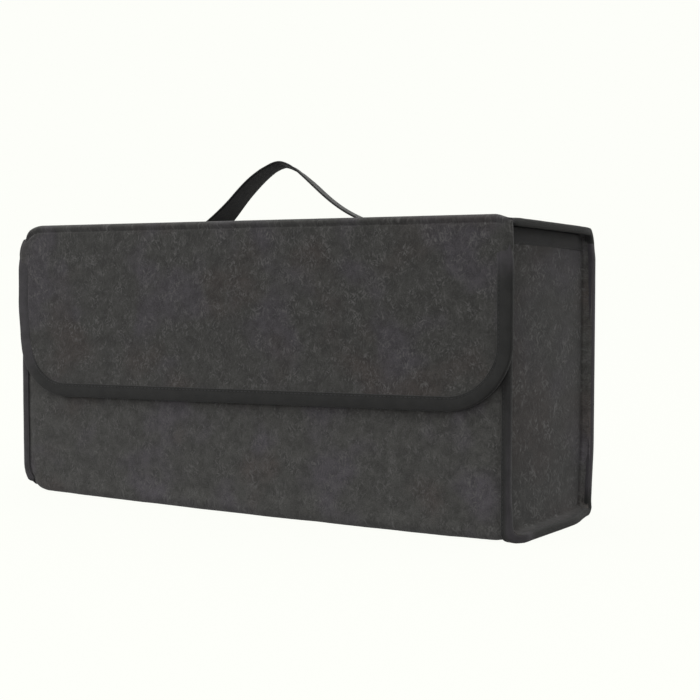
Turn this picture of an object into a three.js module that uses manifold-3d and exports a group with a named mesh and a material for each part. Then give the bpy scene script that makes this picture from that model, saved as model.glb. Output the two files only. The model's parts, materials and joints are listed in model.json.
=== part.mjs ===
// Trunk organizer: a box folded and sewn from thick felt, with a lid, a front flap and a carrying strap.
// Millimetres. X runs along the length, -Y is the front and +Z is up.
// The origin lies under the middle of the box, in the plane it stands on.

import * as THREE from "three";
import { mergeVertices } from "three/addons/utils/BufferGeometryUtils.js";
import Module from "manifold-3d";

const wasm = await Module();
wasm.setup();

// Overall size with the lid shut, not counting the strap
const boxLength = 500;
const boxDepth = 165;
const boxHeight = 245;

// Thickness of each stock
const feltThickness = 3.5;
const tapeThickness = 0.8;
const webbingThickness = 1.6;
const closureThickness = 0.8;
const gripThickness = 1;

// Clearance between two pieces that are sewn together or fold past each other
const fitGap = 0.3;

// Folds and seams of the box
const baseFoldRadius = 7;
const seamDepth = 10;
const pressedSeam = 1.5;
const seamTapeCover = 7;

// The lid reaches past the ends of the box, and rests just above its rim
const lidOverhang = 2.5;
const lidRest = 0.5;

// The soft back wall has sunk, so the lid and the rim under it slope down to the back
const backSettle = 6.5;

// Hems along the open rim
const frontHemHeight = 11;
const endHemHeight = 13.6;

// Front flap
const flapDrop = 153;
const flapCornerRadius = 55;
const flapTapeCover = 11;
const flapTapeStart = 26;

// Carrying strap, with its feet measured from the middle of the lid
const strapWidth = 38;
const strapRise = 53.5;
const strapApexX = -7.6;
const strapLeftFootX = -83;
const strapRightFootX = 101;
const strapTabLength = 30;
const strapLimbSteps = 18;

// How far the strap is twisted about its own line, at even steps from the left foot to the right one
const strapTwists = [0, 7, 10, 8, -18, -22, -20, -9, 0].map(THREE.MathUtils.degToRad);

// Hook and loop closures under the flap
const closureWidth = 60;
const closureHeight = 25;
const closureSpacing = 260;
const closureMargin = 8;

// Hook strips under the base that grip a carpet
const gripWidth = 25;
const gripInset = 70;
const gripMargin = 4;

// Smoothness of the round stretches
const arcSteps = 14;

// What follows from those sizes
const feltHalf = feltThickness / 2;
const tapeBuild = fitGap + tapeThickness;
const boundHalf = feltHalf + tapeBuild;
const cutMargin = 2 * boundHalf;
const halfLength = boxLength / 2;
const bodyEndX = halfLength - lidOverhang;
const endPanelX = bodyEndX - seamDepth;
const seamTapeX = bodyEndX - seamTapeCover;
const lidTapeX = halfLength - seamTapeCover;
const foldZ = boxHeight - boundHalf;
const frontFoldY = boundHalf - boxDepth / 2;
const backFoldY = boxDepth / 2 - boundHalf;
const closureStack = 2 * (fitGap + Math.max(tapeThickness, closureThickness)) + fitGap;
const frontWallY = frontFoldY + feltHalf + closureStack;
const backWallY = backFoldY + feltHalf;
const baseZ = Math.max(gripThickness + fitGap, tapeBuild);
const rimZ = foldZ - boundHalf - Math.max(lidRest, fitGap);
const feltRimZ = rimZ - tapeBuild;
const foldSpacing = backFoldY - frontFoldY;
const lidReach = Math.hypot(foldSpacing, backSettle);
const lidTilt = Math.atan2(backSettle, foldSpacing);

// Depths below the outer face of the wall, through the two layers of an end seam
const wallInside = feltThickness;
const seamOutside = wallInside + fitGap;
const seamInside = seamOutside + pressedSeam;
const bindingInside = seamInside + tapeBuild;

const felt = { color: 0x3e3c3c, roughness: 0.96, metalness: 0 };
const endFelt = { color: 0x403a39, roughness: 0.96, metalness: 0 };
const tape = { color: 0x29292b, roughness: 0.82, metalness: 0 };
const webbing = { color: 0x252527, roughness: 0.7, metalness: 0 };
const hookAndLoop = { color: 0x1c1c1e, roughness: 0.9, metalness: 0 };

// A closed geometry as a solid that can be cut and joined
function solidOf(geometry) {
  const plain = geometry.clone();
  plain.deleteAttribute("normal");
  plain.deleteAttribute("uv");
  const merged = mergeVertices(plain, 1e-4);
  return new wasm.Manifold(
    new wasm.Mesh({
      numProp: 3,
      vertProperties: new Float32Array(merged.attributes.position.array),
      triVerts: new Uint32Array(merged.index.array),
    }),
  );
}

function geometryOf(solid) {
  const { vertProperties, triVerts } = solid.getMesh();
  const geometry = new THREE.BufferGeometry();
  geometry.setAttribute("position", new THREE.BufferAttribute(vertProperties, 3));
  geometry.setIndex(new THREE.BufferAttribute(triVerts, 1));
  return geometry;
}

function meshOf(name, geometry, finish) {
  const facets = geometry.index ? geometry.toNonIndexed() : geometry;
  facets.computeVertexNormals();
  const mesh = new THREE.Mesh(facets, new THREE.MeshStandardMaterial(finish));
  mesh.name = name;
  return mesh;
}

function extrude(shape, depth) {
  return new THREE.ExtrudeGeometry(shape, { depth, bevelEnabled: false, curveSegments: arcSteps });
}

// A shape drawn in Y and Z, run along X from one place to another
function alongX(shape, fromX, toX) {
  const turn = new THREE.Matrix4().makeBasis(
    new THREE.Vector3(0, 1, 0),
    new THREE.Vector3(0, 0, 1),
    new THREE.Vector3(1, 0, 0),
  );
  return extrude(shape, toX - fromX).applyMatrix4(turn).translate(fromX, 0, 0);
}

// A shape drawn in X and Z, run along Y from the front to the back
function alongY(shape, frontY, backY) {
  return extrude(shape, backY - frontY).rotateX(Math.PI / 2).translate(0, backY, 0);
}

function slab(fromX, toX, fromY, toY, fromZ, toZ) {
  const geometry = new THREE.BoxGeometry(toX - fromX, toY - fromY, toZ - fromZ);
  return geometry.translate((fromX + toX) / 2, (fromY + toY) / 2, (fromZ + toZ) / 2);
}

// A height that holds at the front fold, as far down as it has come at another place in Y
function slopedZ(z, y) {
  return z - (backSettle * (y - frontFoldY)) / foldSpacing;
}

// A band across the box whose two long edges slope with the rim
function slopedBand(fromY, toY, bottomZ, topZ) {
  const shape = new THREE.Shape();
  shape.moveTo(fromY, slopedZ(bottomZ, fromY));
  shape.lineTo(toY, slopedZ(bottomZ, toY));
  shape.lineTo(toY, slopedZ(topZ, toY));
  shape.lineTo(fromY, slopedZ(topZ, fromY));
  return shape;
}

// The body's outline across its length, sunk below the outer face by a depth and closed along the sloping top
function wallOutline(depth, topZ) {
  const front = frontWallY + depth;
  const back = backWallY - depth;
  const bottom = baseZ + depth;
  const radius = baseFoldRadius - depth;
  const shape = new THREE.Shape();
  shape.moveTo(front, slopedZ(topZ, front));
  shape.lineTo(front, bottom + radius);
  shape.absarc(front + radius, bottom + radius, radius, Math.PI, 1.5 * Math.PI, false);
  shape.lineTo(back - radius, bottom);
  shape.absarc(back - radius, bottom + radius, radius, 1.5 * Math.PI, 2 * Math.PI, false);
  shape.lineTo(back, slopedZ(topZ, back));
  return shape;
}

// The layer between two depths of that outline: front wall, base and back wall in one run, open along the top
function wallChannel(outerDepth, innerDepth, topZ, fromX, toX) {
  const outer = solidOf(alongX(wallOutline(outerDepth, topZ), fromX, toX));
  const hollow = wallOutline(innerDepth, topZ + cutMargin);
  return outer.subtract(solidOf(alongX(hollow, fromX - cutMargin, toX + cutMargin)));
}

// The same piece at the other end of the box
function mirrored(solid) {
  return solid.mirror([1, 0, 0]);
}

// One felt sheet folded twice: the back wall reaches the lid's fold, and the front wall stops under its hem
function wrapPanel() {
  const backTopZ = foldZ - feltHalf - fitGap;
  const sheetEndX = bodyEndX - tapeBuild;
  const sheet = wallChannel(0, wallInside, backTopZ, -sheetEndX, sheetEndX);
  const aboveFront = slab(
    -halfLength, halfLength,
    frontWallY - cutMargin, backWallY - wallInside - fitGap,
    feltRimZ, foldZ,
  );
  const aboveRim = slopedBand(frontWallY, boxDepth / 2 + cutMargin, rimZ, foldZ + cutMargin);
  const notch = solidOf(alongX(aboveRim, Math.min(lidTapeX, seamTapeX) - fitGap, halfLength));
  return sheet.subtract(solidOf(aboveFront)).subtract(notch).subtract(mirrored(notch));
}

// A shallow felt tray: the panel stands back from the end, and its edge turns outward into the seam
function endPanel() {
  const tray = wallOutline(seamOutside, feltRimZ);
  const pocket = wallOutline(seamInside, feltRimZ + cutMargin);
  const block = solidOf(alongX(tray, endPanelX - feltThickness, bodyEndX - tapeBuild));
  return block.subtract(solidOf(alongX(pocket, endPanelX, bodyEndX)));
}

// Tape folded over the raw edges of the wall and the end panel's seam, up one side and down the other
function endBinding() {
  const around = wallChannel(-tapeBuild, bindingInside, rimZ, seamTapeX, bodyEndX);
  const slot = wallChannel(
    -fitGap, seamInside + fitGap, rimZ + cutMargin, seamTapeX - cutMargin, bodyEndX - tapeThickness,
  );
  return around.subtract(slot);
}

// Tape folded over the top edge of an end panel, between the two bound seams
function endHem() {
  const backX = endPanelX - feltThickness;
  const fromY = frontWallY + bindingInside + fitGap;
  const toY = backWallY - bindingInside - fitGap;
  const bottomZ = rimZ - endHemHeight;
  const outer = slopedBand(fromY, toY, bottomZ, rimZ);
  const inner = slopedBand(fromY - cutMargin, toY + cutMargin, bottomZ - cutMargin, rimZ - tapeThickness);
  const folded = solidOf(alongX(outer, backX - tapeBuild, endPanelX + tapeBuild));
  return folded.subtract(solidOf(alongX(inner, backX - fitGap, endPanelX + fitGap)));
}

// Tape folded over the top edge of the front wall, hidden by the flap
function frontHem() {
  const endX = Math.min(seamTapeX, endPanelX - feltThickness) - fitGap;
  const insideY = frontWallY + wallInside;
  const bottomZ = rimZ - frontHemHeight;
  const folded = slab(-endX, endX, frontWallY - tapeBuild, insideY + tapeBuild, bottomZ, rimZ);
  const slot = slab(
    -halfLength, halfLength,
    frontWallY - fitGap, insideY + fitGap,
    bottomZ - cutMargin, rimZ - tapeThickness,
  );
  return solidOf(folded).subtract(solidOf(slot));
}

// The lid's section, from fold to fold, with a round nose on each fold's line
function lidSection(radius) {
  const shape = new THREE.Shape();
  shape.moveTo(-lidReach, -radius);
  shape.lineTo(0, -radius);
  shape.absarc(0, 0, radius, -Math.PI / 2, Math.PI / 2, false);
  shape.lineTo(-lidReach, radius);
  shape.absarc(-lidReach, 0, radius, Math.PI / 2, 1.5 * Math.PI, false);
  return shape;
}

function lidPanel() {
  const sheetEndX = halfLength - tapeBuild;
  return alongX(lidSection(feltHalf), -sheetEndX, sheetEndX);
}

function lidBinding() {
  const around = solidOf(alongX(lidSection(boundHalf), lidTapeX, halfLength));
  const slot = alongX(lidSection(feltHalf + fitGap), lidTapeX - cutMargin, halfLength - tapeThickness);
  return around.subtract(solidOf(slot));
}

// The flap seen from the front, grown by a margin, hanging from its fold line at Z = 0
function flapOutline(margin, topZ) {
  const halfWidth = halfLength - tapeBuild + margin;
  const bottom = boundHalf + tapeBuild - flapDrop - margin;
  const radius = flapCornerRadius - tapeBuild + margin;
  const shape = new THREE.Shape();
  shape.moveTo(-halfWidth, topZ);
  shape.lineTo(-halfWidth, bottom + radius);
  shape.absarc(radius - halfWidth, bottom + radius, radius, Math.PI, 1.5 * Math.PI, false);
  shape.lineTo(halfWidth - radius, bottom);
  shape.absarc(halfWidth - radius, bottom + radius, radius, 1.5 * Math.PI, 2 * Math.PI, false);
  shape.lineTo(halfWidth, topZ);
  return shape;
}

function flapPanel() {
  const sheet = solidOf(alongY(flapOutline(0, -feltHalf - fitGap), -feltHalf, feltHalf));
  const foldNotch = solidOf(
    slab(lidTapeX - fitGap, halfLength, -cutMargin, cutMargin, -boundHalf - fitGap, 0),
  );
  return sheet.subtract(foldNotch).subtract(mirrored(foldNotch));
}

// One tape around the flap, starting a little below the fold: down a side, round the corners and up again
function flapBinding() {
  const topZ = boundHalf - flapTapeStart;
  const around = solidOf(alongY(flapOutline(tapeBuild, topZ), -boundHalf, boundHalf));
  const window = solidOf(
    alongY(flapOutline(tapeBuild - flapTapeCover, cutMargin), -boundHalf - cutMargin, boundHalf + cutMargin),
  );
  const slot = solidOf(
    alongY(flapOutline(fitGap, cutMargin), -feltHalf - fitGap, feltHalf + fitGap),
  );
  return around.subtract(window).subtract(slot);
}

// The strap's middle line above the lid: a flat tab, a straight rise, the apex, and a soft run down to the other tab
function strapLine() {
  const layZ = feltHalf + fitGap + webbingThickness / 2;
  const apexZ = layZ + strapRise;
  const point = (x, z) => new THREE.Vector3(x, 0, z);
  const leftFoot = point(strapLeftFootX, layZ);
  const apex = point(strapApexX, apexZ);
  const rightFoot = point(strapRightFootX, layZ);
  const leftRun = strapApexX - strapLeftFootX;
  const rightRun = strapRightFootX - strapApexX;
  const path = new THREE.CurvePath();
  path.add(new THREE.LineCurve3(point(strapLeftFootX - strapTabLength, layZ), leftFoot));
  path.add(new THREE.CubicBezierCurve3(
    leftFoot,
    point(strapLeftFootX + 0.26 * leftRun, layZ + 0.36 * strapRise),
    point(strapApexX - 0.34 * leftRun, apexZ),
    apex,
  ));
  path.add(new THREE.CubicBezierCurve3(
    apex,
    point(strapApexX + 0.12 * rightRun, apexZ),
    point(strapApexX + 0.63 * rightRun, layZ),
    rightFoot,
  ));
  path.add(new THREE.LineCurve3(rightFoot, point(strapRightFootX + strapTabLength, layZ)));
  return path;
}

// The twist at a place given as a share of the way from the left foot to the right one
function strapTwistAt(share) {
  const place = share * (strapTwists.length - 1);
  const step = Math.min(Math.floor(place), strapTwists.length - 2);
  const blend = THREE.MathUtils.smoothstep(place - step, 0, 1);
  return THREE.MathUtils.lerp(strapTwists[step], strapTwists[step + 1], blend);
}

// Places along the strap: each has its middle, the way it runs, and how far it is twisted there
function strapStations() {
  const [leftTab, leftLimb, rightLimb, rightTab] = strapLine().curves;
  const apexShare = leftLimb.getLength() / (leftLimb.getLength() + rightLimb.getLength());
  const stations = [];
  const add = (curve, u, twist) => {
    stations.push({ middle: curve.getPointAt(u), along: curve.getTangentAt(u), twist });
  };
  add(leftTab, 0, 0);
  for (let i = 0; i < strapLimbSteps; i++) {
    const u = (i + 0.5) / strapLimbSteps;
    add(leftLimb, u, strapTwistAt(apexShare * u));
  }
  for (let i = 0; i < strapLimbSteps; i++) {
    const u = (i + 0.5) / strapLimbSteps;
    add(rightLimb, u, strapTwistAt(apexShare + (1 - apexShare) * u));
  }
  add(rightTab, 0.2, 0);
  add(rightTab, 1, 0);
  return stations;
}

// A flat ribbon with a rectangular section at each station
function handleStrap() {
  const corners = [[-1, -1], [1, -1], [1, 1], [-1, 1]];
  const across = new THREE.Vector3(0, 1, 0);
  const positions = [];
  const faces = [];
  const stations = strapStations();
  for (const { middle, along, twist } of stations) {
    const wide = across.clone().applyAxisAngle(along, twist);
    const thick = along.clone().cross(wide);
    for (const [w, t] of corners) {
      const corner = middle.clone();
      corner.addScaledVector(wide, (w * strapWidth) / 2);
      corner.addScaledVector(thick, (t * webbingThickness) / 2);
      positions.push(...corner.toArray());
    }
  }
  for (let ring = 0; ring < stations.length - 1; ring++) {
    for (let side = 0; side < corners.length; side++) {
      const a = ring * corners.length + side;
      const b = ring * corners.length + ((side + 1) % corners.length);
      const c = b + corners.length;
      const d = a + corners.length;
      faces.push(a, b, c, a, c, d);
    }
  }
  const last = positions.length / 3 - corners.length;
  faces.push(0, 2, 1, 0, 3, 2, last, last + 1, last + 2, last, last + 2, last + 3);
  const geometry = new THREE.BufferGeometry();
  geometry.setAttribute("position", new THREE.Float32BufferAttribute(positions, 3));
  geometry.setIndex(faces);
  return geometry;
}

// A closure patch around the origin, facing the front
function closurePatch() {
  return new THREE.BoxGeometry(closureWidth, closureThickness, closureHeight);
}

function gripStrip() {
  const flatDepth = backWallY - frontWallY - 2 * baseFoldRadius;
  return new THREE.BoxGeometry(gripWidth, flatDepth - 2 * gripMargin, gripThickness);
}

const ends = [
  { side: "left", sign: -1 },
  { side: "right", sign: 1 },
];

const flapBottomZ = boundHalf - flapDrop;
const closureZ = flapBottomZ + flapTapeCover + closureMargin + closureHeight / 2;

function boxGroup() {
  const group = new THREE.Group();
  group.add(meshOf("wrap_panel", geometryOf(wrapPanel()), felt));
  group.add(meshOf("front_hem", geometryOf(frontHem()), tape));
  const pieces = [
    ["end_panel", endPanel(), endFelt],
    ["end_binding", endBinding(), tape],
    ["end_hem", endHem(), tape],
  ];
  for (const { side, sign } of ends) {
    for (const [name, solid, finish] of pieces) {
      group.add(meshOf(`${side}_${name}`, geometryOf(sign < 0 ? mirrored(solid) : solid), finish));
    }
    const loop = meshOf(`${side}_loop_patch`, closurePatch(), hookAndLoop);
    const loopY = frontWallY - fitGap - closureThickness / 2;
    loop.position.set((sign * closureSpacing) / 2, loopY, foldZ + closureZ);
    group.add(loop);
    const grip = meshOf(`${side}_base_grip`, gripStrip(), hookAndLoop);
    const gripZ = baseZ - fitGap - gripThickness / 2;
    grip.position.set(sign * (halfLength - gripInset), (frontWallY + backWallY) / 2, gripZ);
    group.add(grip);
  }
  return group;
}

// The flap hangs from the lid's front fold, which is this group's origin
function flapGroup() {
  const group = new THREE.Group();
  group.position.set(0, -foldSpacing, backSettle);
  group.add(meshOf("flap_panel", geometryOf(flapPanel()), felt));
  group.add(meshOf("flap_binding", geometryOf(flapBinding()), tape));
  for (const { side, sign } of ends) {
    const hook = meshOf(`${side}_hook_patch`, closurePatch(), hookAndLoop);
    hook.position.set((sign * closureSpacing) / 2, feltHalf + fitGap + closureThickness / 2, closureZ);
    group.add(hook);
  }
  return group;
}

// The lid turns about the fold at the top of the back wall, which is this group's origin
function lidGroup() {
  const group = new THREE.Group();
  group.position.set(0, backFoldY, foldZ - backSettle);
  const add = (name, geometry, finish) => {
    group.add(meshOf(name, geometry.rotateX(-lidTilt), finish));
  };
  add("lid_panel", lidPanel(), felt);
  for (const { side, sign } of ends) {
    const binding = sign < 0 ? mirrored(lidBinding()) : lidBinding();
    add(`${side}_lid_binding`, geometryOf(binding), tape);
  }
  add("handle_strap", handleStrap().translate(0, -lidReach / 2, 0), webbing);
  group.add(flapGroup());
  return group;
}

const organizer = new THREE.Group();
organizer.add(boxGroup(), lidGroup());

export default organizer;
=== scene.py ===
"""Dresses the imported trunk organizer: felt sheets, folded tapes, a woven strap, closures and a studio."""

import json
import math

import bpy
import numpy as np
from bpy.props import FloatProperty, FloatVectorProperty, PointerProperty
from mathutils import Euler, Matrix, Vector


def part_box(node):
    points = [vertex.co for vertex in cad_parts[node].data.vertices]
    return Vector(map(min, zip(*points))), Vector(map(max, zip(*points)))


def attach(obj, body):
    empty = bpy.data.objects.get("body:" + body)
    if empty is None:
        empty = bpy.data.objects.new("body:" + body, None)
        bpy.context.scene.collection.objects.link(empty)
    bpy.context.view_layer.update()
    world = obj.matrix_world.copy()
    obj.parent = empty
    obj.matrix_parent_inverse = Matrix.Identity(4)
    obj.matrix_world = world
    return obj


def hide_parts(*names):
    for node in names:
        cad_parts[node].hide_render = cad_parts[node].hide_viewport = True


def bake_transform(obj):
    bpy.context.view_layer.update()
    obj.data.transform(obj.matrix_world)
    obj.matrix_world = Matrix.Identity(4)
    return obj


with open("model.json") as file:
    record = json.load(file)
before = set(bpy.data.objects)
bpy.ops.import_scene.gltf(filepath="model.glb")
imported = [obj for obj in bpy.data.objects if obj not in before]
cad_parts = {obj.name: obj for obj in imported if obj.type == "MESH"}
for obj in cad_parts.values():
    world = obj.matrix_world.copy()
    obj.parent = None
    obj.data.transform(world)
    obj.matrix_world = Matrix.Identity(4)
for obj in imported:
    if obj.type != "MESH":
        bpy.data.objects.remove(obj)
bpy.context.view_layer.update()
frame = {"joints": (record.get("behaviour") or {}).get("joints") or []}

bl_info = {
    "name": "Felt Trunk Organizer",
    "version": (1, 0, 0),
    "blender": (4, 5, 0),
    "location": "View3D > Sidebar > Organizer",
    "description": "Makes the felt, tapes, strap and closures of a trunk organizer around its frame",
    "category": "Object",
}

MM = 0.001
CUT_MAP = "cut"
BACKDROP = (0.982, 0.991, 0.947)
SEWN_SLOT = 1

# Sizes of the box, as the frame has them
wrap_low, wrap_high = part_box("wrap_panel")
lid_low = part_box("lid_panel")[0]
flap_low, flap_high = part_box("flap_panel")
flap_tape_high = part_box("flap_binding")[1]
seam_low, seam_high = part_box("right_end_binding")
end_hem_low, end_hem_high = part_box("right_end_hem")
front_hem_low, front_hem_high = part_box("front_hem")
strap_low, strap_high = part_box("handle_strap")

pivots = {joint["name"]: Vector(joint["pos_m"]) for joint in frame["joints"]}
back_pivot = pivots["lid_hinge"]
front_pivot = pivots["flap_hinge"]

felt_thickness = flap_high.y - flap_low.y
felt_half = felt_thickness / 2
back_drop = front_pivot.z - back_pivot.z
tape_build = lid_low.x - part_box("left_lid_binding")[0].x
lid_end_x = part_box("right_lid_binding")[1].x
body_end_x = seam_high.x
seam_cover = seam_high.x - seam_low.x
front_rim_z = front_hem_high.z - tape_build
end_plate_x = end_hem_high.x - tape_build


# Settings that a user would change

class OrganizerFelt(bpy.types.PropertyGroup):
    """How the felt sheets fold, sag and crease"""

    base_fold: FloatProperty(
        name="Base fold", description="Radius of the folds along the base",
        default=5 * MM, unit="LENGTH")
    back_fold: FloatProperty(
        name="Back fold", description="Radius of the lid's fold at the back",
        default=10 * MM, unit="LENGTH")
    front_fold: FloatProperty(
        name="Front fold", description="Radius of the fold between lid and flap",
        default=2.1 * MM, unit="LENGTH")
    crease_depth: FloatProperty(
        name="Crease depth", description="Depth of the sewn crease under the front fold",
        default=1.8 * MM, unit="LENGTH")
    flap_corner: FloatProperty(
        name="Flap corner", description="Radius of the flap's lower corners at the tape's edge",
        default=55 * MM, unit="LENGTH")
    ripple: FloatProperty(
        name="Ripple", description="Height of the felt's slow waves",
        default=0.55 * MM, unit="LENGTH")
    wall_bulge: FloatProperty(
        name="Wall bulge", description="How far the walls stand out between their seams",
        default=1.6 * MM, unit="LENGTH")
    lid_sag: FloatProperty(
        name="Lid sag", description="How far the middle of the lid hangs down",
        default=1.1 * MM, unit="LENGTH")
    fold_lift: FloatProperty(
        name="Fold lift", description="How far the springy felt stands up along the front fold",
        default=1.8 * MM, unit="LENGTH")
    base_puff: FloatProperty(
        name="Base puff", description="How far the felt stands out along the fold at the front's foot",
        default=2.6 * MM, unit="LENGTH")
    seam_pinch: FloatProperty(
        name="Seam pinch", description="How far the stitching presses the felt in at an end seam",
        default=1.2 * MM, unit="LENGTH")
    left_drop: FloatProperty(
        name="Left drop", description="How far the left end of the lid has sunk",
        default=4.8 * MM, unit="LENGTH")
    corner_top: FloatProperty(
        name="Upper corner", description="Size of the rounded upper corner at the left end",
        default=30 * MM, unit="LENGTH")
    corner_base: FloatProperty(
        name="Lower corner", description="Size of the rounded lower corner at the left end",
        default=25 * MM, unit="LENGTH")
    base_flare: FloatProperty(
        name="Base flare", description="How far the base's end seam stands out at the right",
        default=9.5 * MM, unit="LENGTH")
    left_swell: FloatProperty(
        name="Left swell", description="How far the lower left end stands out",
        default=2.7 * MM, unit="LENGTH")
    back_tuck: FloatProperty(
        name="Back tuck", description="How far the lid's back corner is pulled in at the right",
        default=3.2 * MM, unit="LENGTH")
    front_tuck: FloatProperty(
        name="Front tuck", description="How far the front's right end has been drawn in",
        default=1.1 * MM, unit="LENGTH")
    back_lean: FloatProperty(
        name="Back lean", description="How far the foot of the back wall leans in",
        default=5 * MM, unit="LENGTH")
    flap_slant: FloatProperty(
        name="Flap slant",
        description="How much higher the flap's edge is at the right than in the middle",
        default=3.9 * MM, unit="LENGTH")
    flap_shift: FloatProperty(
        name="Flap shift", description="How far the flap has been pulled to the right of the lid",
        default=1.4 * MM, unit="LENGTH")
    corner_tuck: FloatProperty(
        name="Corner tuck", description="How far the flap's lower left corner is drawn in",
        default=3.6 * MM, unit="LENGTH")
    edge_stand: FloatProperty(
        name="Edge stand", description="How far the flap's lower edge stands off the front wall",
        default=1.8 * MM, unit="LENGTH")
    flap_lift: FloatProperty(
        name="Flap lift",
        description="How much higher the middle of the flap's edge sits than it was cut",
        default=1.8 * MM, unit="LENGTH")


class OrganizerSewing(bpy.types.PropertyGroup):
    """Tape and thread"""

    seam_half: FloatProperty(
        name="End seam", description="Half the thickness of a bound end seam",
        default=3.2 * MM, unit="LENGTH")
    edge_half: FloatProperty(
        name="Bound edge", description="Half the thickness of a bound lid or flap edge",
        default=3 * MM, unit="LENGTH")
    tape: FloatProperty(
        name="Tape", description="Thickness of the binding tape",
        default=0.8 * MM, unit="LENGTH")
    pitch: FloatProperty(
        name="Stitch pitch", description="Distance from one stitch to the next",
        default=3.8 * MM, unit="LENGTH")
    stitch: FloatProperty(
        name="Stitch length", description="Length of thread that shows in one stitch",
        default=2.7 * MM, unit="LENGTH")
    thread: FloatProperty(
        name="Thread", description="Thickness of the thread",
        default=0.5 * MM, unit="LENGTH")
    end_hem: FloatProperty(
        name="End hem", description="Height of the tape over an end panel's top edge",
        default=13.1 * MM, unit="LENGTH")
    flap_cover: FloatProperty(
        name="Flap tape", description="Width of the tape that shows on the flap",
        default=12 * MM, unit="LENGTH")
    stitch_inset: FloatProperty(
        name="Stitch inset", description="How far the stitches lie from the tape's inner edge",
        default=1.7 * MM, unit="LENGTH")


class OrganizerStrap(bpy.types.PropertyGroup):
    """The carrying strap, along the same line as its frame piece"""

    rise: FloatProperty(
        name="Rise", description="Height of the strap's apex above its tabs",
        default=55.1 * MM, unit="LENGTH")
    apex_x: FloatProperty(
        name="Apex", description="Where the apex is along the lid",
        default=-13.4 * MM, unit="LENGTH")
    left_foot_x: FloatProperty(
        name="Left foot", description="Where the strap leaves the lid at the left",
        default=-90.6 * MM, unit="LENGTH")
    right_foot_x: FloatProperty(
        name="Right foot", description="Where the strap leaves the lid at the right",
        default=108.3 * MM, unit="LENGTH")
    left_twist: FloatProperty(
        name="Left twist", description="How far the left limb turns about its own line",
        default=math.radians(9.3), subtype="ANGLE")
    right_twist: FloatProperty(
        name="Right twist", description="How far the right limb turns about its own line",
        default=math.radians(14.6), subtype="ANGLE")


class OrganizerFinish(bpy.types.PropertyGroup):
    """Colours of the felt, tape, webbing and closures"""

    felt: FloatVectorProperty(
        name="Felt", description="Main colour of the felt",
        default=(0.043, 0.0425, 0.0405), size=3, subtype="COLOR", min=0, max=1)
    felt_warm: FloatVectorProperty(
        name="Warm felt", description="Colour of the browner patches",
        default=(0.046, 0.040, 0.0375), size=3, subtype="COLOR", min=0, max=1)
    felt_cool: FloatVectorProperty(
        name="Cool felt", description="Colour of the violet patches",
        default=(0.0515, 0.0478, 0.0538), size=3, subtype="COLOR", min=0, max=1)
    fibre: FloatVectorProperty(
        name="Pale fibre", description="Colour of the pale fibres",
        default=(0.105, 0.103, 0.102), size=3, subtype="COLOR", min=0, max=1)
    tape: FloatVectorProperty(
        name="Tape", description="Colour of the binding tape",
        default=(0.0180, 0.0180, 0.0178), size=3, subtype="COLOR", min=0, max=1)
    thread: FloatVectorProperty(
        name="Thread", description="Colour of the stitches",
        default=(0.017, 0.017, 0.018), size=3, subtype="COLOR", min=0, max=1)
    webbing: FloatVectorProperty(
        name="Webbing", description="Colour of the strap",
        default=(0.0078, 0.0078, 0.0083), size=3, subtype="COLOR", min=0, max=1)
    closure: FloatVectorProperty(
        name="Closure", description="Colour of the hook and loop pieces",
        default=(0.012, 0.012, 0.0125), size=3, subtype="COLOR", min=0, max=1)


class OrganizerStudio(bpy.types.PropertyGroup):
    """Camera and light"""

    camera_place: FloatVectorProperty(
        name="Camera", description="Where the camera stands",
        default=(0.7423, -1.0907, 0.2182), size=3, subtype="TRANSLATION")
    azimuth: FloatProperty(
        name="Azimuth", description="How far the camera looks to the left of +Y",
        default=math.radians(32.11), subtype="ANGLE")
    pitch: FloatProperty(
        name="Pitch", description="How far the camera looks down",
        default=math.radians(3.67), subtype="ANGLE")
    lens: FloatProperty(
        name="Lens", description="Focal length on a 36 mm sensor, in millimetres",
        default=77.75)
    ground_light: FloatProperty(
        name="Ground", description="Light that comes up from the ground, where 1 is the background's",
        default=0.3)
    sky_light: FloatProperty(
        name="Sky", description="Light that comes from overhead, where 1 is the background's",
        default=1.25)
    soft_light: FloatProperty(
        name="Surround", description="Strength of the light from all round", default=0.74)
    key_power: FloatProperty(name="Key", description="Power of the key light", default=11.5)
    fill_power: FloatProperty(name="Fill", description="Power of the fill light", default=9)
    rim_power: FloatProperty(name="Top", description="Power of the overhead light", default=5)


class OrganizerSettings(bpy.types.PropertyGroup):
    """Everything the operators read"""

    felt: PointerProperty(type=OrganizerFelt)
    sewing: PointerProperty(type=OrganizerSewing)
    strap: PointerProperty(type=OrganizerStrap)
    finish: PointerProperty(type=OrganizerFinish)
    studio: PointerProperty(type=OrganizerStudio)


def settings():
    """The settings as they stand in the scene."""
    return bpy.context.scene.organizer


# Small helpers for numbers

def smooth(low, high, value):
    """0 below low, 1 above high, with an even start and stop."""
    t = np.clip((np.asarray(value, float) - low) / (high - low), 0, 1)
    return t * t * (3 - 2 * t)


def bell(centre, width, value):
    """1 at centre, falling off over width."""
    return np.exp(-((np.asarray(value, float) - centre) / width) ** 2)


# Lengths of the felt's uneven waves, each one's height beside the last one's, and the height of their sum
WAVE_LENGTHS = tuple(length * MM for length in (170, 120, 85, 61, 43, 30))
WAVE_DECAY = 0.78
WAVE_SUM = 2.6


def waves(a, b, seed):
    """A slow uneven field between about -1 and 1 over two coordinates in metres."""
    total = 0
    for i, length in enumerate(WAVE_LENGTHS):
        turn = 2.4 * i + seed
        along = a * math.cos(turn) + b * math.sin(turn)
        total = total + WAVE_DECAY ** i * np.sin(math.tau * along / length + 1.9 * i * seed + seed)
    return total / WAVE_SUM


# The felt's line across the box: rim, front wall, base, back wall, lid and flap in one run

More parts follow.
